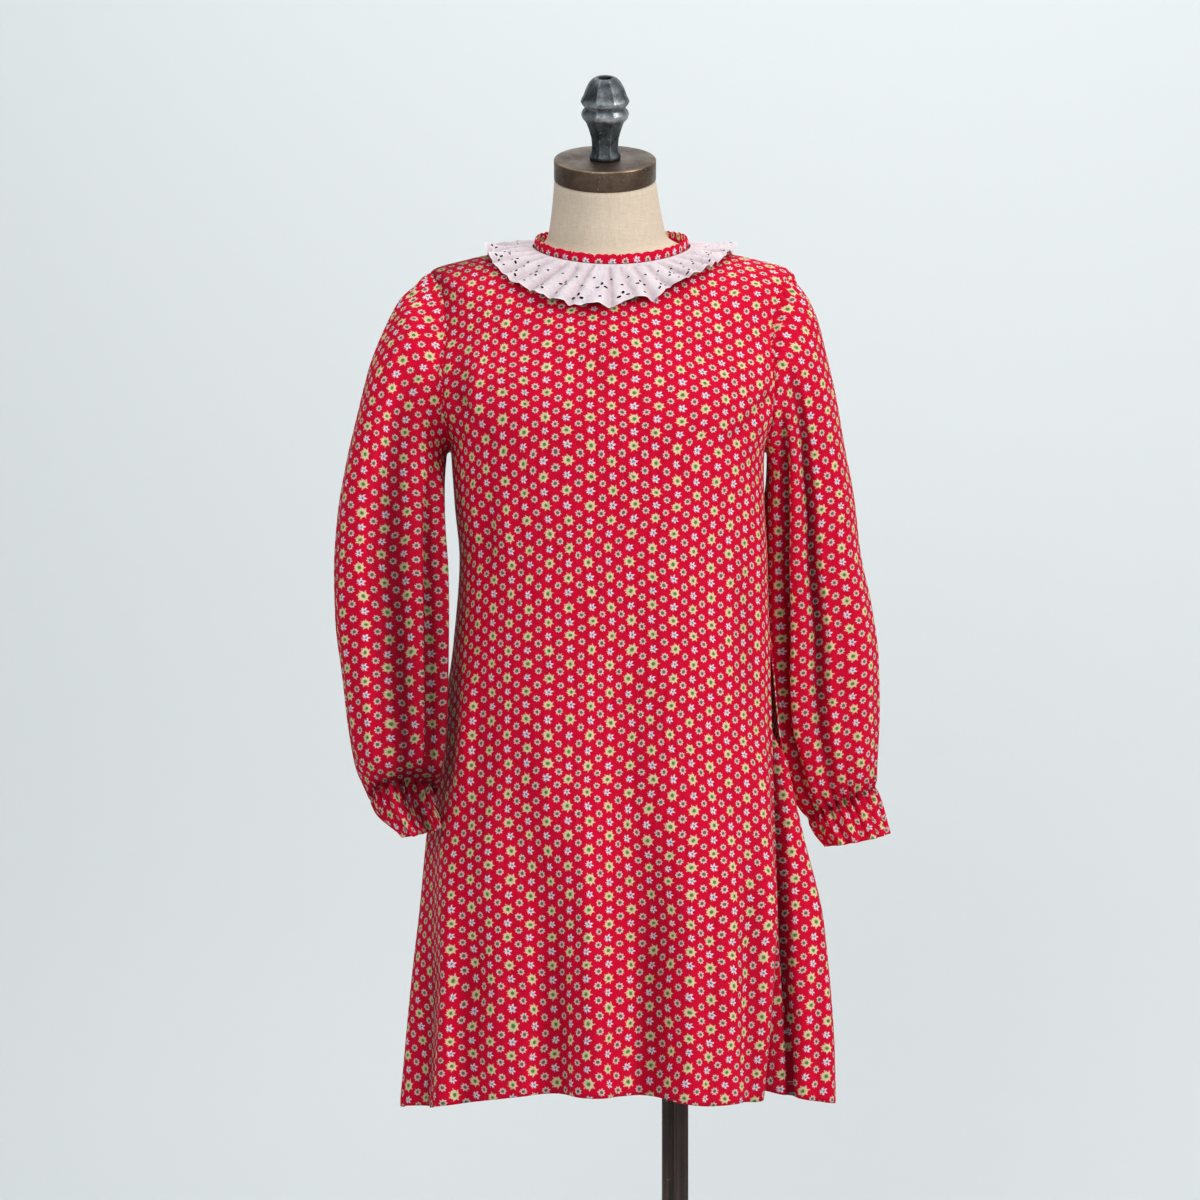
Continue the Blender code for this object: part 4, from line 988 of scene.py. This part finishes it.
def armhole_loop(side, turn, wider=0.0):
    """The armhole's edge, from the shoulder over the front to the underarm and behind."""
    distance = (TIP_AT + UNDERARM_AT) / 2 - ((UNDERARM_AT - TIP_AT) / 2 + wider) * np.cos(turn)
    reach = math.radians(ARMHOLE_DEG) + wider / BODY[TIP_ROW, 1]
    angle = side * (math.pi / 2 - reach * np.sin(turn))
    return body_points(angle, distance) - body_normals(angle, distance) * wider * 0.7


def waves(turn, count, seed):
    """Uneven gathers round a ring: a cosine whose phase and height wander."""
    shift = 0.9 * np.sin(2 * turn + seed) + 0.7 * np.sin(5 * turn + 2.3 * seed)
    height = 0.75 + 0.25 * np.sin(7 * turn + 1.7 * seed)
    return height * np.cos(count * turn + shift)


def sleeve_relief(ring, turn, folds, seed):
    """How far a sleeve's cloth stands out at each ring and turn: folds, gathers and flounce."""
    out = np.zeros((len(ring), len(turn)))
    for row in folds:
        fold = SleeveFold(*row)
        along = np.clip((ring - fold.first_ring) / (fold.last_ring - fold.first_ring), 0, 1)
        middle = fold.top_deg + (fold.wrist_deg - fold.top_deg) * along
        swell = np.sin(math.pi * along)**SLEEVE_FOLD_FADE
        offset = degrees_from(middle[:, None], turn)
        out += fold.depth * swell[:, None] * bump(offset, fold.half_deg)
    ring = ring[:, None]
    from_wrist = np.abs(ring - WRIST_RING)
    head = np.clip(np.cos(turn), 0, 1)**0.5 * np.clip(ring / 0.35, 0, 1) * np.exp(-ring / 2.2)
    out += HEAD_GATHER * head * waves(turn, HEAD_WAVES, seed)
    gathers = waves(turn, WRIST_WAVES, seed + 1)
    out += WRIST_GATHER * np.exp(-from_wrist / 0.8) * (gathers - 0.9 * np.abs(gathers))
    out += PUCKER_HEIGHT * np.exp(-from_wrist / 0.5) * waves(turn, PUCKER_WAVES, seed + 3)
    out -= ELASTIC_DEPTH * np.exp(-(from_wrist / 0.25)**2)
    flounce = np.clip((ring - WRIST_RING) / (HEM_RING - WRIST_RING), 0, 1)
    return out + FLOUNCE_HEIGHT * flounce * waves(turn, FLOUNCE_WAVES, seed + 2)


def sleeve_uv(points, ring, side, seed):
    """Where a sleeve's points lie in its flat cut, in metres, turned by the tilt of its grain.

    The first guess has one ring's width at every level, and settles to the true lengths. Rings
    gathered by the elastic are let out toward that width.
    """
    middle = points.shape[1] // 2
    steps = np.linalg.norm(np.diff(points, axis=0), axis=-1)
    down = np.concatenate([np.zeros((1, points.shape[1])), np.cumsum(steps, axis=0)])
    level = np.searchsorted(ring, SLEEVE_LEVEL_RING)
    down -= down[level]
    whole = np.linalg.norm(np.diff(points, axis=1), axis=-1).sum(axis=1)
    width = lengths_round(points, down, middle)[level]
    spread = np.where(ring > GATHERED_FROM, np.sqrt(whole[level] / whole), 1.0)
    flat = settle_flat(points, np.stack([width + 0 * down, -down], axis=-1), spread)
    flat -= flat[level, middle]
    tilt = math.radians(SLEEVE_GRAIN_DEG) * side
    u = flat[..., 0] * math.cos(tilt) - flat[..., 1] * math.sin(tilt) + 5.0 * seed
    v = flat[..., 0] * math.sin(tilt) + flat[..., 1] * math.cos(tilt) + 3.0 * seed
    return np.stack([u, v], axis=-1) * MM


def sleeve_painted_shade(out, ring, turn, side):
    """How much painted shade a sleeve's cloth gets: in its folds, on its inner side and at the
    wrist.
    """
    inner = np.clip((INNER_FROM - np.cos(turn)) / (1 + INNER_FROM), 0, 1)**0.8
    along = np.interp(ring, *SLEEVE_SHADE_ALONG)[:, None]
    from_wrist = np.abs(ring - WRIST_RING)[:, None]
    deep = np.clip(-out / (11 - 5.5 * np.exp(-from_wrist / 0.8)), 0, 1)
    return np.clip(SLEEVE_SHADES[side > 0] * inner * along + deep
                   + WRIST_SHADES[side > 0] * np.exp(-from_wrist / 0.9), 0, 1)


def make_sleeve(name, side, rows, folds, seed, cotton, nodes):
    """A bishop sleeve down to its flounce: ovals along the arm, folded, and gathered at both ends.

    Its first ring is the armhole's edge, and what that differs from an oval fades over a few
    rings.
    """
    turn = np.linspace(0.0, 2 * math.pi, SLEEVE_COLUMNS, endpoint=False)
    loop = armhole_loop(side, turn)
    top, under = loop[0], loop[SLEEVE_COLUMNS // 2]
    depth = (loop[:, 1].max() - loop[:, 1].min()) / 2
    ease = side * ARMHOLE_EASE
    plain = (top[0], top[2], under[0], under[2], loop[:, 1].mean(), depth, 0.0)
    over = loop - sleeve_ring(np.array([plain]), turn)[0]
    table = np.array([(plain[0] + ease, plain[1], plain[2] + ease, *plain[3:]), *rows])
    ring = np.concatenate([np.linspace(*run)[bool(run[0]):] for run in SLEEVE_GRID])
    kept = np.interp(ring, np.arange(len(SLEEVE_KEPT) + 1), (*SLEEVE_KEPT, 0.0))
    read = smooth_table(table, np.arange(len(table), dtype=float))
    points = sleeve_ring(read(ring), turn) + kept[:, None, None] * over
    forward = np.interp(ring, *zip(*SLEEVE_FORWARD)) * SLEEVE_FORWARD_SIDES[side > 0]
    points[..., 1] -= forward[:, None] * (1 - np.cos(turn)) / 2 * np.sin(turn / 2)
    out = sleeve_relief(ring, turn, folds, seed)
    points = points + unit(points - points.mean(axis=1, keepdims=True)) * out[..., None]
    # the seam allowance is tucked in behind the armhole's edge
    points = np.concatenate([armhole_loop(side, turn, SLEEVE_TUCK)[None], points])
    out = np.concatenate([0 * out[:1], out])
    ring = np.concatenate([[-0.1], ring])
    painted_shade = sleeve_painted_shade(out, ring, turn, side)
    # columns start at the back, where the print meets itself, and the front is their middle
    order = np.roll(np.arange(SLEEVE_COLUMNS), SLEEVE_COLUMNS // 4 * (1 if side < 0 else -1))
    if side > 0:
        points, painted_shade = points[:, ::-1], painted_shade[:, ::-1]
    order = np.append(order, order[0])
    points, painted_shade = points[:, order], painted_shade[:, order]
    thing = make_mesh(name, points, grid_faces(*points.shape[:2]),
                      sleeve_uv(points, ring, side, seed), {"painted_shade": painted_shade})
    finish_piece(thing, cotton, nodes, CLOTH_WALL)


def collar_end():
    """Half the turn that the collar pieces cover, in radians."""
    return math.pi - math.radians(COLLAR_OPEN_DEG)


def make_neckband(cotton):
    """A bias-cut strip on the neck seam, with soft edges and a slight pucker along it."""
    angle = np.linspace(-collar_end(), collar_end(), 301)[None, :]
    around = np.array([(0.0, 0.55), (0.04, 0.9), (0.12, 1.0), (0.5, 1.1), (0.88, 1.0), (0.96, 0.85),
                       (1.0, 0.5), (0.98, 0.12), (0.9, 0.0), (0.5, 0.0), (0.1, 0.0), (0.02, 0.12)])
    up = np.concatenate([around[:, 0], around[:1, 0]])[::-1, None]
    out = (np.concatenate([around[:, 1], around[:1, 1]])[::-1, None] - 1.0) * BAND_WALL
    seam = body_points(angle, np.zeros(angle.shape))
    outward = np.stack([np.sin(angle), -np.cos(angle), 0 * angle], -1)
    pucker = 0.4 * np.sin(60 * angle + 2 * np.sin(7 * angle)) * np.sin(math.pi * up)
    move = out - BAND_LEAN * up + pucker
    points = seam + outward * move[..., None]
    uneven = np.sin(52 * angle + 3 * np.sin(5 * angle))
    rise = 0.3 + (BAND_HEIGHT - 0.3) * up + 0.55 * uneven * up**2
    points[..., 2] += np.broadcast_to(rise, points.shape[:2])
    length = np.concatenate([[0], np.cumsum(np.linalg.norm(np.diff(seam[0], axis=0), axis=-1))])
    length -= length[150]
    step = math.hypot(COLUMN_PITCH / 2, FLOWER_PITCH / 2)
    way = np.array([COLUMN_PITCH / 2, FLOWER_PITCH / 2]) / step
    across = np.cumsum(np.concatenate([[0.0], np.hypot(
        np.diff(up[:, 0] * BAND_HEIGHT), np.diff(out[:, 0]))]))
    height = across[:, None] - 18.0
    u = length[None, :] * way[0] + height * way[1]
    v = length[None, :] * way[1] - height * way[0] + FLOWER_PITCH
    faces = grid_faces(len(up), angle.shape[1])[:, ::-1]
    thing = make_mesh("neck_band", points, faces, np.stack([u, v], -1) * MM)
    finish_piece(thing, cotton, ("neckband",))


def ruffle_reach(angle):
    """How far down the body the ruffle's free edge lies, before its pinches draw it up."""
    return RUFFLE_DEPTH + RUFFLE_FRONT_EXTRA * np.cos(angle)**2 - RUFFLE_SLANT * np.sin(2 * angle)


def ruffle_surface(along, down):
    """Points of the ruffle at a place in the flat strip: along it, and down from its gathered edge.

    The strip follows the body at a lift that grows toward its free edge. At each pinch of the
    table the lift sinks to the body in a narrow bell, the cloth beside it is drawn in toward it,
    and its edge is drawn up.
    """
    angle = (along / RUFFLE_FLAT_LENGTH * 2 - 1) * collar_end()
    out = down / RUFFLE_FLAT_WIDTH
    sunk, drawn, short = np.zeros(angle.shape), np.zeros(angle.shape), np.zeros(angle.shape)
    for row in PINCHES:
        pinch = Pinch(*row)
        offset = degrees_from(pinch.at_deg + pinch.lean_deg * out, angle)
        bell = np.exp(-(offset / pinch.half_deg)**2)
        sunk += pinch.depth * bell
        drawn += 0.3 * offset * bell * np.clip(out * 3, 0, 1)
        short += pinch.draw_up * np.exp(-(offset / 5.0)**2)
    leaning = angle - np.radians(drawn)
    reach = ruffle_reach(angle) - short * out
    distance = RUFFLE_START + (reach - RUFFLE_START) * out
    raised = np.clip(out * 9, 0, 1)
    fine = np.exp(-out * 3.2) * np.cos(88 * angle + 2.2 * np.sin(9 * angle)) + 1
    lift = (RUFFLE_LIFT + RUFFLE_RISE * out
            + RUFFLE_WAVE_HEIGHT * out**0.7 * np.clip(1 - sunk, 0, 1)
            + 0.35 * fine * raised
            + 2.4 * np.sin(14 * angle + 4 * out + 3 * np.sin(4 * angle)) * out
            + 0.8 * np.sin(27 * angle - 6 * out + 3 * np.sin(6 * angle)) * out)
    points = body_points(leaning, distance) + body_normals(leaning, distance) * lift[..., None]
    # the pinches' depth also goes back as painted shade for the ruffle's valleys
    return points, np.clip(sunk, 0, 1) * raised


def eyelet_distance(along, down):
    """How far a place in the flat strip lies outside the nearest eyelet, less than 0 inside it.

    The strip is taken by its repeat. Each eyelet is an ellipse, and the distance is its radius
    share less 1, times its half width.
    """
    up = RUFFLE_FLAT_WIDTH - down
    nearest = np.full(along.shape, 99.0)
    for row in EYELETS:
        eyelet = Eyelet(*row)
        x = (along - eyelet.along + EYELET_REPEAT / 2) % EYELET_REPEAT - EYELET_REPEAT / 2
        y = up - eyelet.up
        cosine, sine = math.cos(math.radians(eyelet.turn_deg)), math.sin(math.radians(
            eyelet.turn_deg))
        long_way = (x * cosine + y * sine) / eyelet.half_length
        short_way = (y * cosine - x * sine) / eyelet.half_width
        nearest = np.minimum(nearest, (np.hypot(long_way, short_way) - 1) * eyelet.half_width)
    return nearest


def make_ruffle(lace):
    """The gathered eyelet ruffle, with its eyelets cut out and its free edge scalloped."""
    along = np.linspace(0.0, RUFFLE_FLAT_LENGTH, 901)[None, :]
    share = np.linspace(0.0, 1.0, 61)[:, None]
    scallop = SCALLOP_DEPTH * (1 - np.abs(np.sin(math.pi * along / SCALLOP_LENGTH)))
    down = share * (RUFFLE_FLAT_WIDTH - scallop * share**8)
    along = np.broadcast_to(along, down.shape).copy()
    cell = 0.9
    for _ in range(2):
        here = eyelet_distance(along, down)
        slope_x = (eyelet_distance(along + 0.05, down) - eyelet_distance(along - 0.05, down)) / 0.1
        slope_y = (eyelet_distance(along, down + 0.05) - eyelet_distance(along, down - 0.05)) / 0.1
        steep = np.maximum(slope_x**2 + slope_y**2, 0.2)
        close = np.abs(here) < 0.5 * cell
        along = along - np.where(close, here * slope_x / steep, 0.0)
        down = down - np.where(close, here * slope_y / steep, 0.0)
    points, sunk = ruffle_surface(along, down)
    quads = grid_faces(*down.shape)
    flip = (np.arange(len(quads)) % 2).astype(bool)
    first = np.where(flip[:, None], quads[:, [0, 1, 2]], quads[:, [0, 1, 3]])
    second = np.where(flip[:, None], quads[:, [0, 2, 3]], quads[:, [1, 2, 3]])
    faces = np.concatenate([first, second])
    middle_along = along.ravel()[faces].mean(axis=1)
    middle_down = down.ravel()[faces].mean(axis=1)
    faces = faces[eyelet_distance(middle_along, middle_down) > 0]
    used = np.unique(faces)
    number = np.zeros(points.shape[0] * points.shape[1], int)
    number[used] = np.arange(len(used))
    uv = np.stack([along, -down], axis=-1).reshape(-1, 2)[used] * MM
    rim = eyelet_distance(along, down).ravel()[used]
    edge = (RUFFLE_FLAT_WIDTH - scallop - down).ravel()[used]
    # the ruffle's painted shade lies in its pinches
    thing = make_mesh("eyelet_ruffle", points.reshape(-1, 3)[used], number[faces], uv,
                      {"rim": rim, "edge": edge, "painted_shade": sunk.ravel()[used]})
    finish_piece(thing, lace, ("collar_ruffle",))


def make_closing(cotton):
    """The covered button and the fabric loop at centre back."""
    seam = body_points(np.array([math.pi]), np.array([0.0]))[0]
    lean = BAND_LEAN * (BUTTON_HEIGHT - BUTTON_RADIUS) / BAND_HEIGHT
    face = seam + np.array([0.0, 0.3 - lean, BUTTON_HEIGHT])
    middle = face + np.array([BUTTON_OFFSET, 0.0, 0.0])

    def onto_band(points):
        """Turns a shape's +Z to +Y and sets it on the band."""
        return np.stack([points[..., 0], points[..., 2], -points[..., 1]], axis=-1) + middle

    points, faces = lathe("button", BUTTON_PROFILE, 48, onto_band)
    flat = points - middle
    uv = np.stack([flat[..., 0] + 8.0, flat[..., 2] + 4.0], axis=-1) * MM
    button = make_mesh("covered_button", points, faces, uv)
    finish_piece(button, cotton, ("back_button",))
    reach = BUTTON_RADIUS + LOOP_RADIUS + 0.3
    half_turn = math.radians(LOOP_HALF_TURN_DEG)
    turn = np.linspace(-half_turn, half_turn, 60)
    bow = np.stack([np.cos(turn) * reach + BUTTON_OFFSET, 0 * turn, np.sin(turn) * reach], -1)
    near = np.linspace(0, 1, 16)[:-1, None]
    start = np.array([LOOP_START, 0.0, -LOOP_SPREAD])
    end = np.array([LOOP_START, 0.0, LOOP_SPREAD])
    path = np.concatenate([start + (bow[0] - start) * near, bow, bow[-1] + (end - bow[-1])
                           * (near + 1 / 15)]) + face + np.array([0.0, LOOP_RADIUS, 0.0])
    way = unit(np.gradient(path, axis=0))
    beside = unit(np.cross(way, [0.0, 1.0, 0.0]))
    above = np.cross(beside, way)
    round_path = np.linspace(0, 2 * math.pi, 12, endpoint=False)
    tube = (path[:, None] + LOOP_RADIUS * (np.cos(round_path)[:, None] * beside[:, None]
                                           + np.sin(round_path)[:, None] * above[:, None]))
    ends = np.stack([np.broadcast_to(path[0], tube[0].shape), np.broadcast_to(
        path[-1], tube[0].shape)])
    tube = np.concatenate([ends[:1], tube, ends[1:]])
    length = np.arange(len(tube))[:, None] * 0.6 + 0 * round_path
    uv = np.stack([round_path * LOOP_RADIUS + 0 * length + 5.0, length], -1) * MM
    loop = make_mesh("button_loop_cord", tube, grid_faces(*tube.shape[:2], closed=True)[:, ::-1],
                     uv)
    finish_piece(loop, cotton, ("button_loop",))


def neck_axis():
    """The direction that the neck's cap faces."""
    lean = math.radians(NECK_TILT_DEG)
    return np.array([0.0, -math.sin(lean), math.cos(lean)])


def on_neck(points):
    """Sets points with +Z up on the neck's axis, with Z = 0 at the cap's top."""
    up = neck_axis()
    right = np.array([1.0, 0.0, 0.0])
    back = np.cross(up, right)
    return (np.array(CAP_TOP_CENTRE) + points[..., :1] * right + points[..., 1:2] * back
            + points[..., 2:] * up)


def make_form(linen):
    """The padded form: rings from the neck's top to the hips, with a sewn seam down the front."""
    lean = math.radians(NECK_TILT_DEG)
    top = np.array(CAP_TOP_CENTRE) - neck_axis() * (CAP_THICKNESS + 0.3)
    reach_y, reach_z = NECK_TOP_RADIUS * math.cos(lean), NECK_TOP_RADIUS * math.sin(lean)
    rows = [(top[2], NECK_TOP_RADIUS, top[0], top[1] - reach_y, top[2] - reach_z,
             top[1] + reach_y, top[2] + reach_z, 2.0), *FORM_NECK_ROWS]
    for distance in np.linspace(0.0, TIP_AT, FORM_SHOULDER_STEPS + 1)[:-1]:
        side_z, half_width, centre_x, front_y, front_z, back_y, back_z, power = BODY_TABLE(distance)
        rows.append((side_z - FORM_DROP, half_width, centre_x, front_y + 2 * FORM_DROP,
                     front_z - FORM_DROP, back_y - 2 * FORM_DROP, back_z - FORM_DROP, power))
    rows = np.array([*rows, *FORM_BODY_ROWS])
    knots = lengths_along(rows[:, 1], rows[:, 0])
    columns = smooth_table(rows, knots)(np.linspace(0.0, knots[-1], 150))[:, None, :]
    angle = np.linspace(-math.pi, math.pi, 120, endpoint=False)[None, :]
    columns = np.broadcast_to(columns, (150, 120, columns.shape[-1]))
    angle = np.broadcast_to(angle, columns.shape[:2])
    points = ring_points(columns, angle)
    groove = np.exp(-(np.degrees(np.minimum(np.abs(angle), math.pi - np.abs(angle))) / 1.6)**2)
    points -= grid_normals(points, closed=True) * (0.5 * groove)[..., None]
    centre_top = np.broadcast_to(points[0].mean(axis=0), (1, 120, 3))
    centre_low = np.broadcast_to(points[-1].mean(axis=0), (1, 120, 3))
    points = np.concatenate([centre_top, points, centre_low])
    form = make_mesh("form_body", points, grid_faces(*points.shape[:2], closed=True))
    finish_piece(form, linen, ("form_torso",))


CAP_PROFILE = (
    (0, -21), (46, -21), (50.2, -20.9), (50.8, -20.4), (51, -19.6), (51, -1.8),
    (50.8, -0.9), (50.2, -0.3), (49.2, 0), (30, 0), (0, 0),
)
# Radius and distance along the axis; the last column is how far the faces are flattened.
FINIAL_ROWS = (
    (0, 0.3, 0), (15.5, 0.3, 0.6), (16.4, 2, 0.6), (16, 4, 0.6), (14.2, 7.5, 0.8),
    (13.8, 14.8, 0.8), (14.6, 22, 0.8), (16.8, 29.5, 0.8), (19.4, 36.8, 0.7), (20.2, 38.6, 0.5),
    (23.2, 42, 0.35), (24.2, 45.2, 0.3), (23.4, 48, 0.35), (21, 50.8, 0.4),
    (20.8, 52.8, 0.4), (23, 55.4, 0.35), (24.7, 58.3, 0.3), (24, 60.6, 0.5), (22.6, 63.4, 0.7),
    (21, 68, 0.7), (19, 72.6, 0.7), (16.2, 77, 0.5), (12.6, 80.6, 0.3), (9.6, 82.2, 0),
    (6.4, 81.4, 0), (5.8, 79.6, 0), (5.4, 74, 0), (0, 74, 0),
)
FINIAL_FLATS = 8
HOLE_ROWS = 4


def make_cap_and_finial(bronze, pewter):
    """The spun metal cap, and the cast finial whose turned shape is flattened to eight faces."""
    points, faces = lathe("cap", CAP_PROFILE, 128, on_neck)
    radius, height = np.array(CAP_PROFILE).T
    # painted highlight along the cap's top rim
    painted_highlight_and_shade = np.exp(-((radius - 50.4)**2 + (height + 0.6)**2) / 1.2)
    painted_highlight_and_shade = np.broadcast_to(painted_highlight_and_shade[::-1, None], points.shape[:2])
    cap = make_mesh("metal_cap", points, faces, attributes={"painted_highlight_and_shade": painted_highlight_and_shade})
    finish_piece(cap, bronze, ("neck_cap",))
    table = np.array(FINIAL_ROWS)
    turn = np.linspace(0, 2 * math.pi, 160, endpoint=False) + math.radians(10)
    sector = 2 * math.pi / FINIAL_FLATS
    inside = (turn + sector / 2) % sector - sector / 2
    flat = math.cos(sector / 2) / np.cos(inside)
    softened = (flat - 1) * 0.85 + 1
    radius = table[::-1, 0][:, None] * (1 + (softened - 1) * table[::-1, 2][:, None])
    points = np.stack([radius * np.cos(turn), radius * np.sin(turn),
                       np.broadcast_to(table[::-1, 1][:, None], radius.shape)], axis=-1)
    # painted highlight on the corners between the faces and round the widest bulges; painted shade
    # in the hole at the top
    corner = np.exp(-((np.abs(inside) - sector / 2) / 0.05)**2)
    ridge = np.exp(-((table[::-1, 0] - 24.5) / 1.2)**2)
    painted_highlight_and_shade = np.clip(0.4 * corner + ridge[:, None], 0, 1)
    painted_highlight_and_shade = np.where((np.arange(len(table)) < HOLE_ROWS)[:, None], -1.0, painted_highlight_and_shade)
    finial = make_mesh("cast_finial", on_neck(points), grid_faces(*radius.shape, closed=True),
                       attributes={"painted_highlight_and_shade": painted_highlight_and_shade})
    finish_piece(finial, pewter, ("finial",))


def make_studio():
    """A pale floor that curves up into a backdrop, soft light from the right, and the camera."""
    profile_y = np.array([-6.5, 0.9, 1.5, 1.9, 2.05, 2.1, 2.1])
    profile_z = np.array([0.0, 0.0, 0.05, 0.25, 0.6, 1.2, 4.2])
    x = np.linspace(-7.0, 7.0, 9)
    points = np.stack([np.broadcast_to(x, (7, 9)), np.broadcast_to(profile_y[:, None], (7, 9)),
                       np.broadcast_to(profile_z[:, None], (7, 9))], axis=-1) / MM
    sweep = make_mesh("backdrop", points, grid_faces(7, 9)[:, ::-1])
    smooth = sweep.modifiers.new("soften", "SUBSURF")
    smooth.levels = smooth.render_levels = 3
    paper, tree, shader = new_material("backdrop_paper", 0.95)
    shader.inputs["Base Color"].default_value = colour("#E9EDEE")
    # it is seen through from behind, so that the dress shows from all round
    behind = add(tree, "ShaderNodeNewGeometry", output=6)
    clear = add(tree, "ShaderNodeBsdfTransparent")
    both = add(tree, "ShaderNodeMixShader", {0: behind, 1: shader.outputs[0], 2: clear})
    tree.links.new(both, tree.nodes["Material Output"].inputs["Surface"])
    sweep.data.materials.append(paper)
    # each light's place and size in metres, power in watts and tint
    for name, place, size, power, tint in (
            ("key", (3.1, -1.9, 2.5), 1.0, 69.0, (1.0, 0.985, 0.96)),
            ("front", (-1.0, -3.7, 2.4), 1.8, 45.0, (0.95, 0.98, 1.0)),
            ("top", (0.3, -1.4, 3.4), 2.0, 20.0, (1.0, 1.0, 1.0)),
            ("backdrop_light", (0.0, 0.6, 3.6), 3.0, 40.0, (0.97, 0.99, 1.0))):
        light = bpy.data.lights.new(name, "AREA")
        light.shape = "SQUARE"
        light.size = size
        light.energy = power
        light.color = tint
        lamp = bpy.data.objects.new(name, light)
        bpy.context.scene.collection.objects.link(lamp)
        lamp.location = place
        aim = np.array([-0.06, 0.0, 0.95]) - np.array(place)
        if name == "backdrop_light":
            aim = np.array([0.0, 2.1, 1.2]) - np.array(place)
        turn_z = math.atan2(-aim[0], aim[1])
        lamp.rotation_euler = (math.atan2(math.hypot(aim[0], aim[1]), -aim[2]), 0.0, turn_z)
    world = bpy.context.scene.world or bpy.data.worlds.new("room")
    bpy.context.scene.world = world
    world.use_nodes = True
    world.node_tree.nodes["Background"].inputs[0].default_value = colour("#E6EEF2")
    world.node_tree.nodes["Background"].inputs[1].default_value = 0.22
    camera = bpy.data.objects.new("camera", bpy.data.cameras.new("camera"))
    bpy.context.scene.collection.objects.link(camera)
    camera.location = CAMERA_AT
    camera.rotation_euler = (math.pi / 2, 0.0, 0.0)
    camera.data.lens = CAMERA_LENS
    camera.data.sensor_width = CAMERA_SENSOR
    bpy.context.scene.camera = camera
    bpy.context.scene.view_settings.view_transform = "Standard"


def main():
    make_studio()
    cotton = printed_cotton()
    make_form(form_linen())
    make_dress(cotton)
    make_sleeve("sleeve_and_flounce_left", -1.0, SLEEVE_LEFT_ROWS, SLEEVE_FOLDS_LEFT, 0.7, cotton,
                ("sleeve_left", "cuff_left"))
    make_sleeve("sleeve_and_flounce_right", 1.0, SLEEVE_RIGHT_ROWS, SLEEVE_FOLDS_RIGHT, 2.1, cotton,
                ("sleeve_right", "cuff_right"))
    make_neckband(cotton)
    make_ruffle(eyelet_cotton())
    make_closing(cotton)
    make_cap_and_finial(
        cast_metal("cap_bronze", "#4A3A2F", "#6B584A", "#B79F84", 0.42, 0.85, 30.0),
        cast_metal("finial_pewter", "#33373A", "#70767A", "#C4C8CA", 0.42, 0.8, 70.0))
    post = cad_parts["post"]
    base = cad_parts["base"]
    post.data.materials.clear()
    post.data.materials.append(dark_wood())
    base.data.materials.clear()
    base.data.materials.append(
        cast_metal("base_iron", "#141210", "#2A2624", "#5A544E", 0.55, 0.6, 40.0))


main()
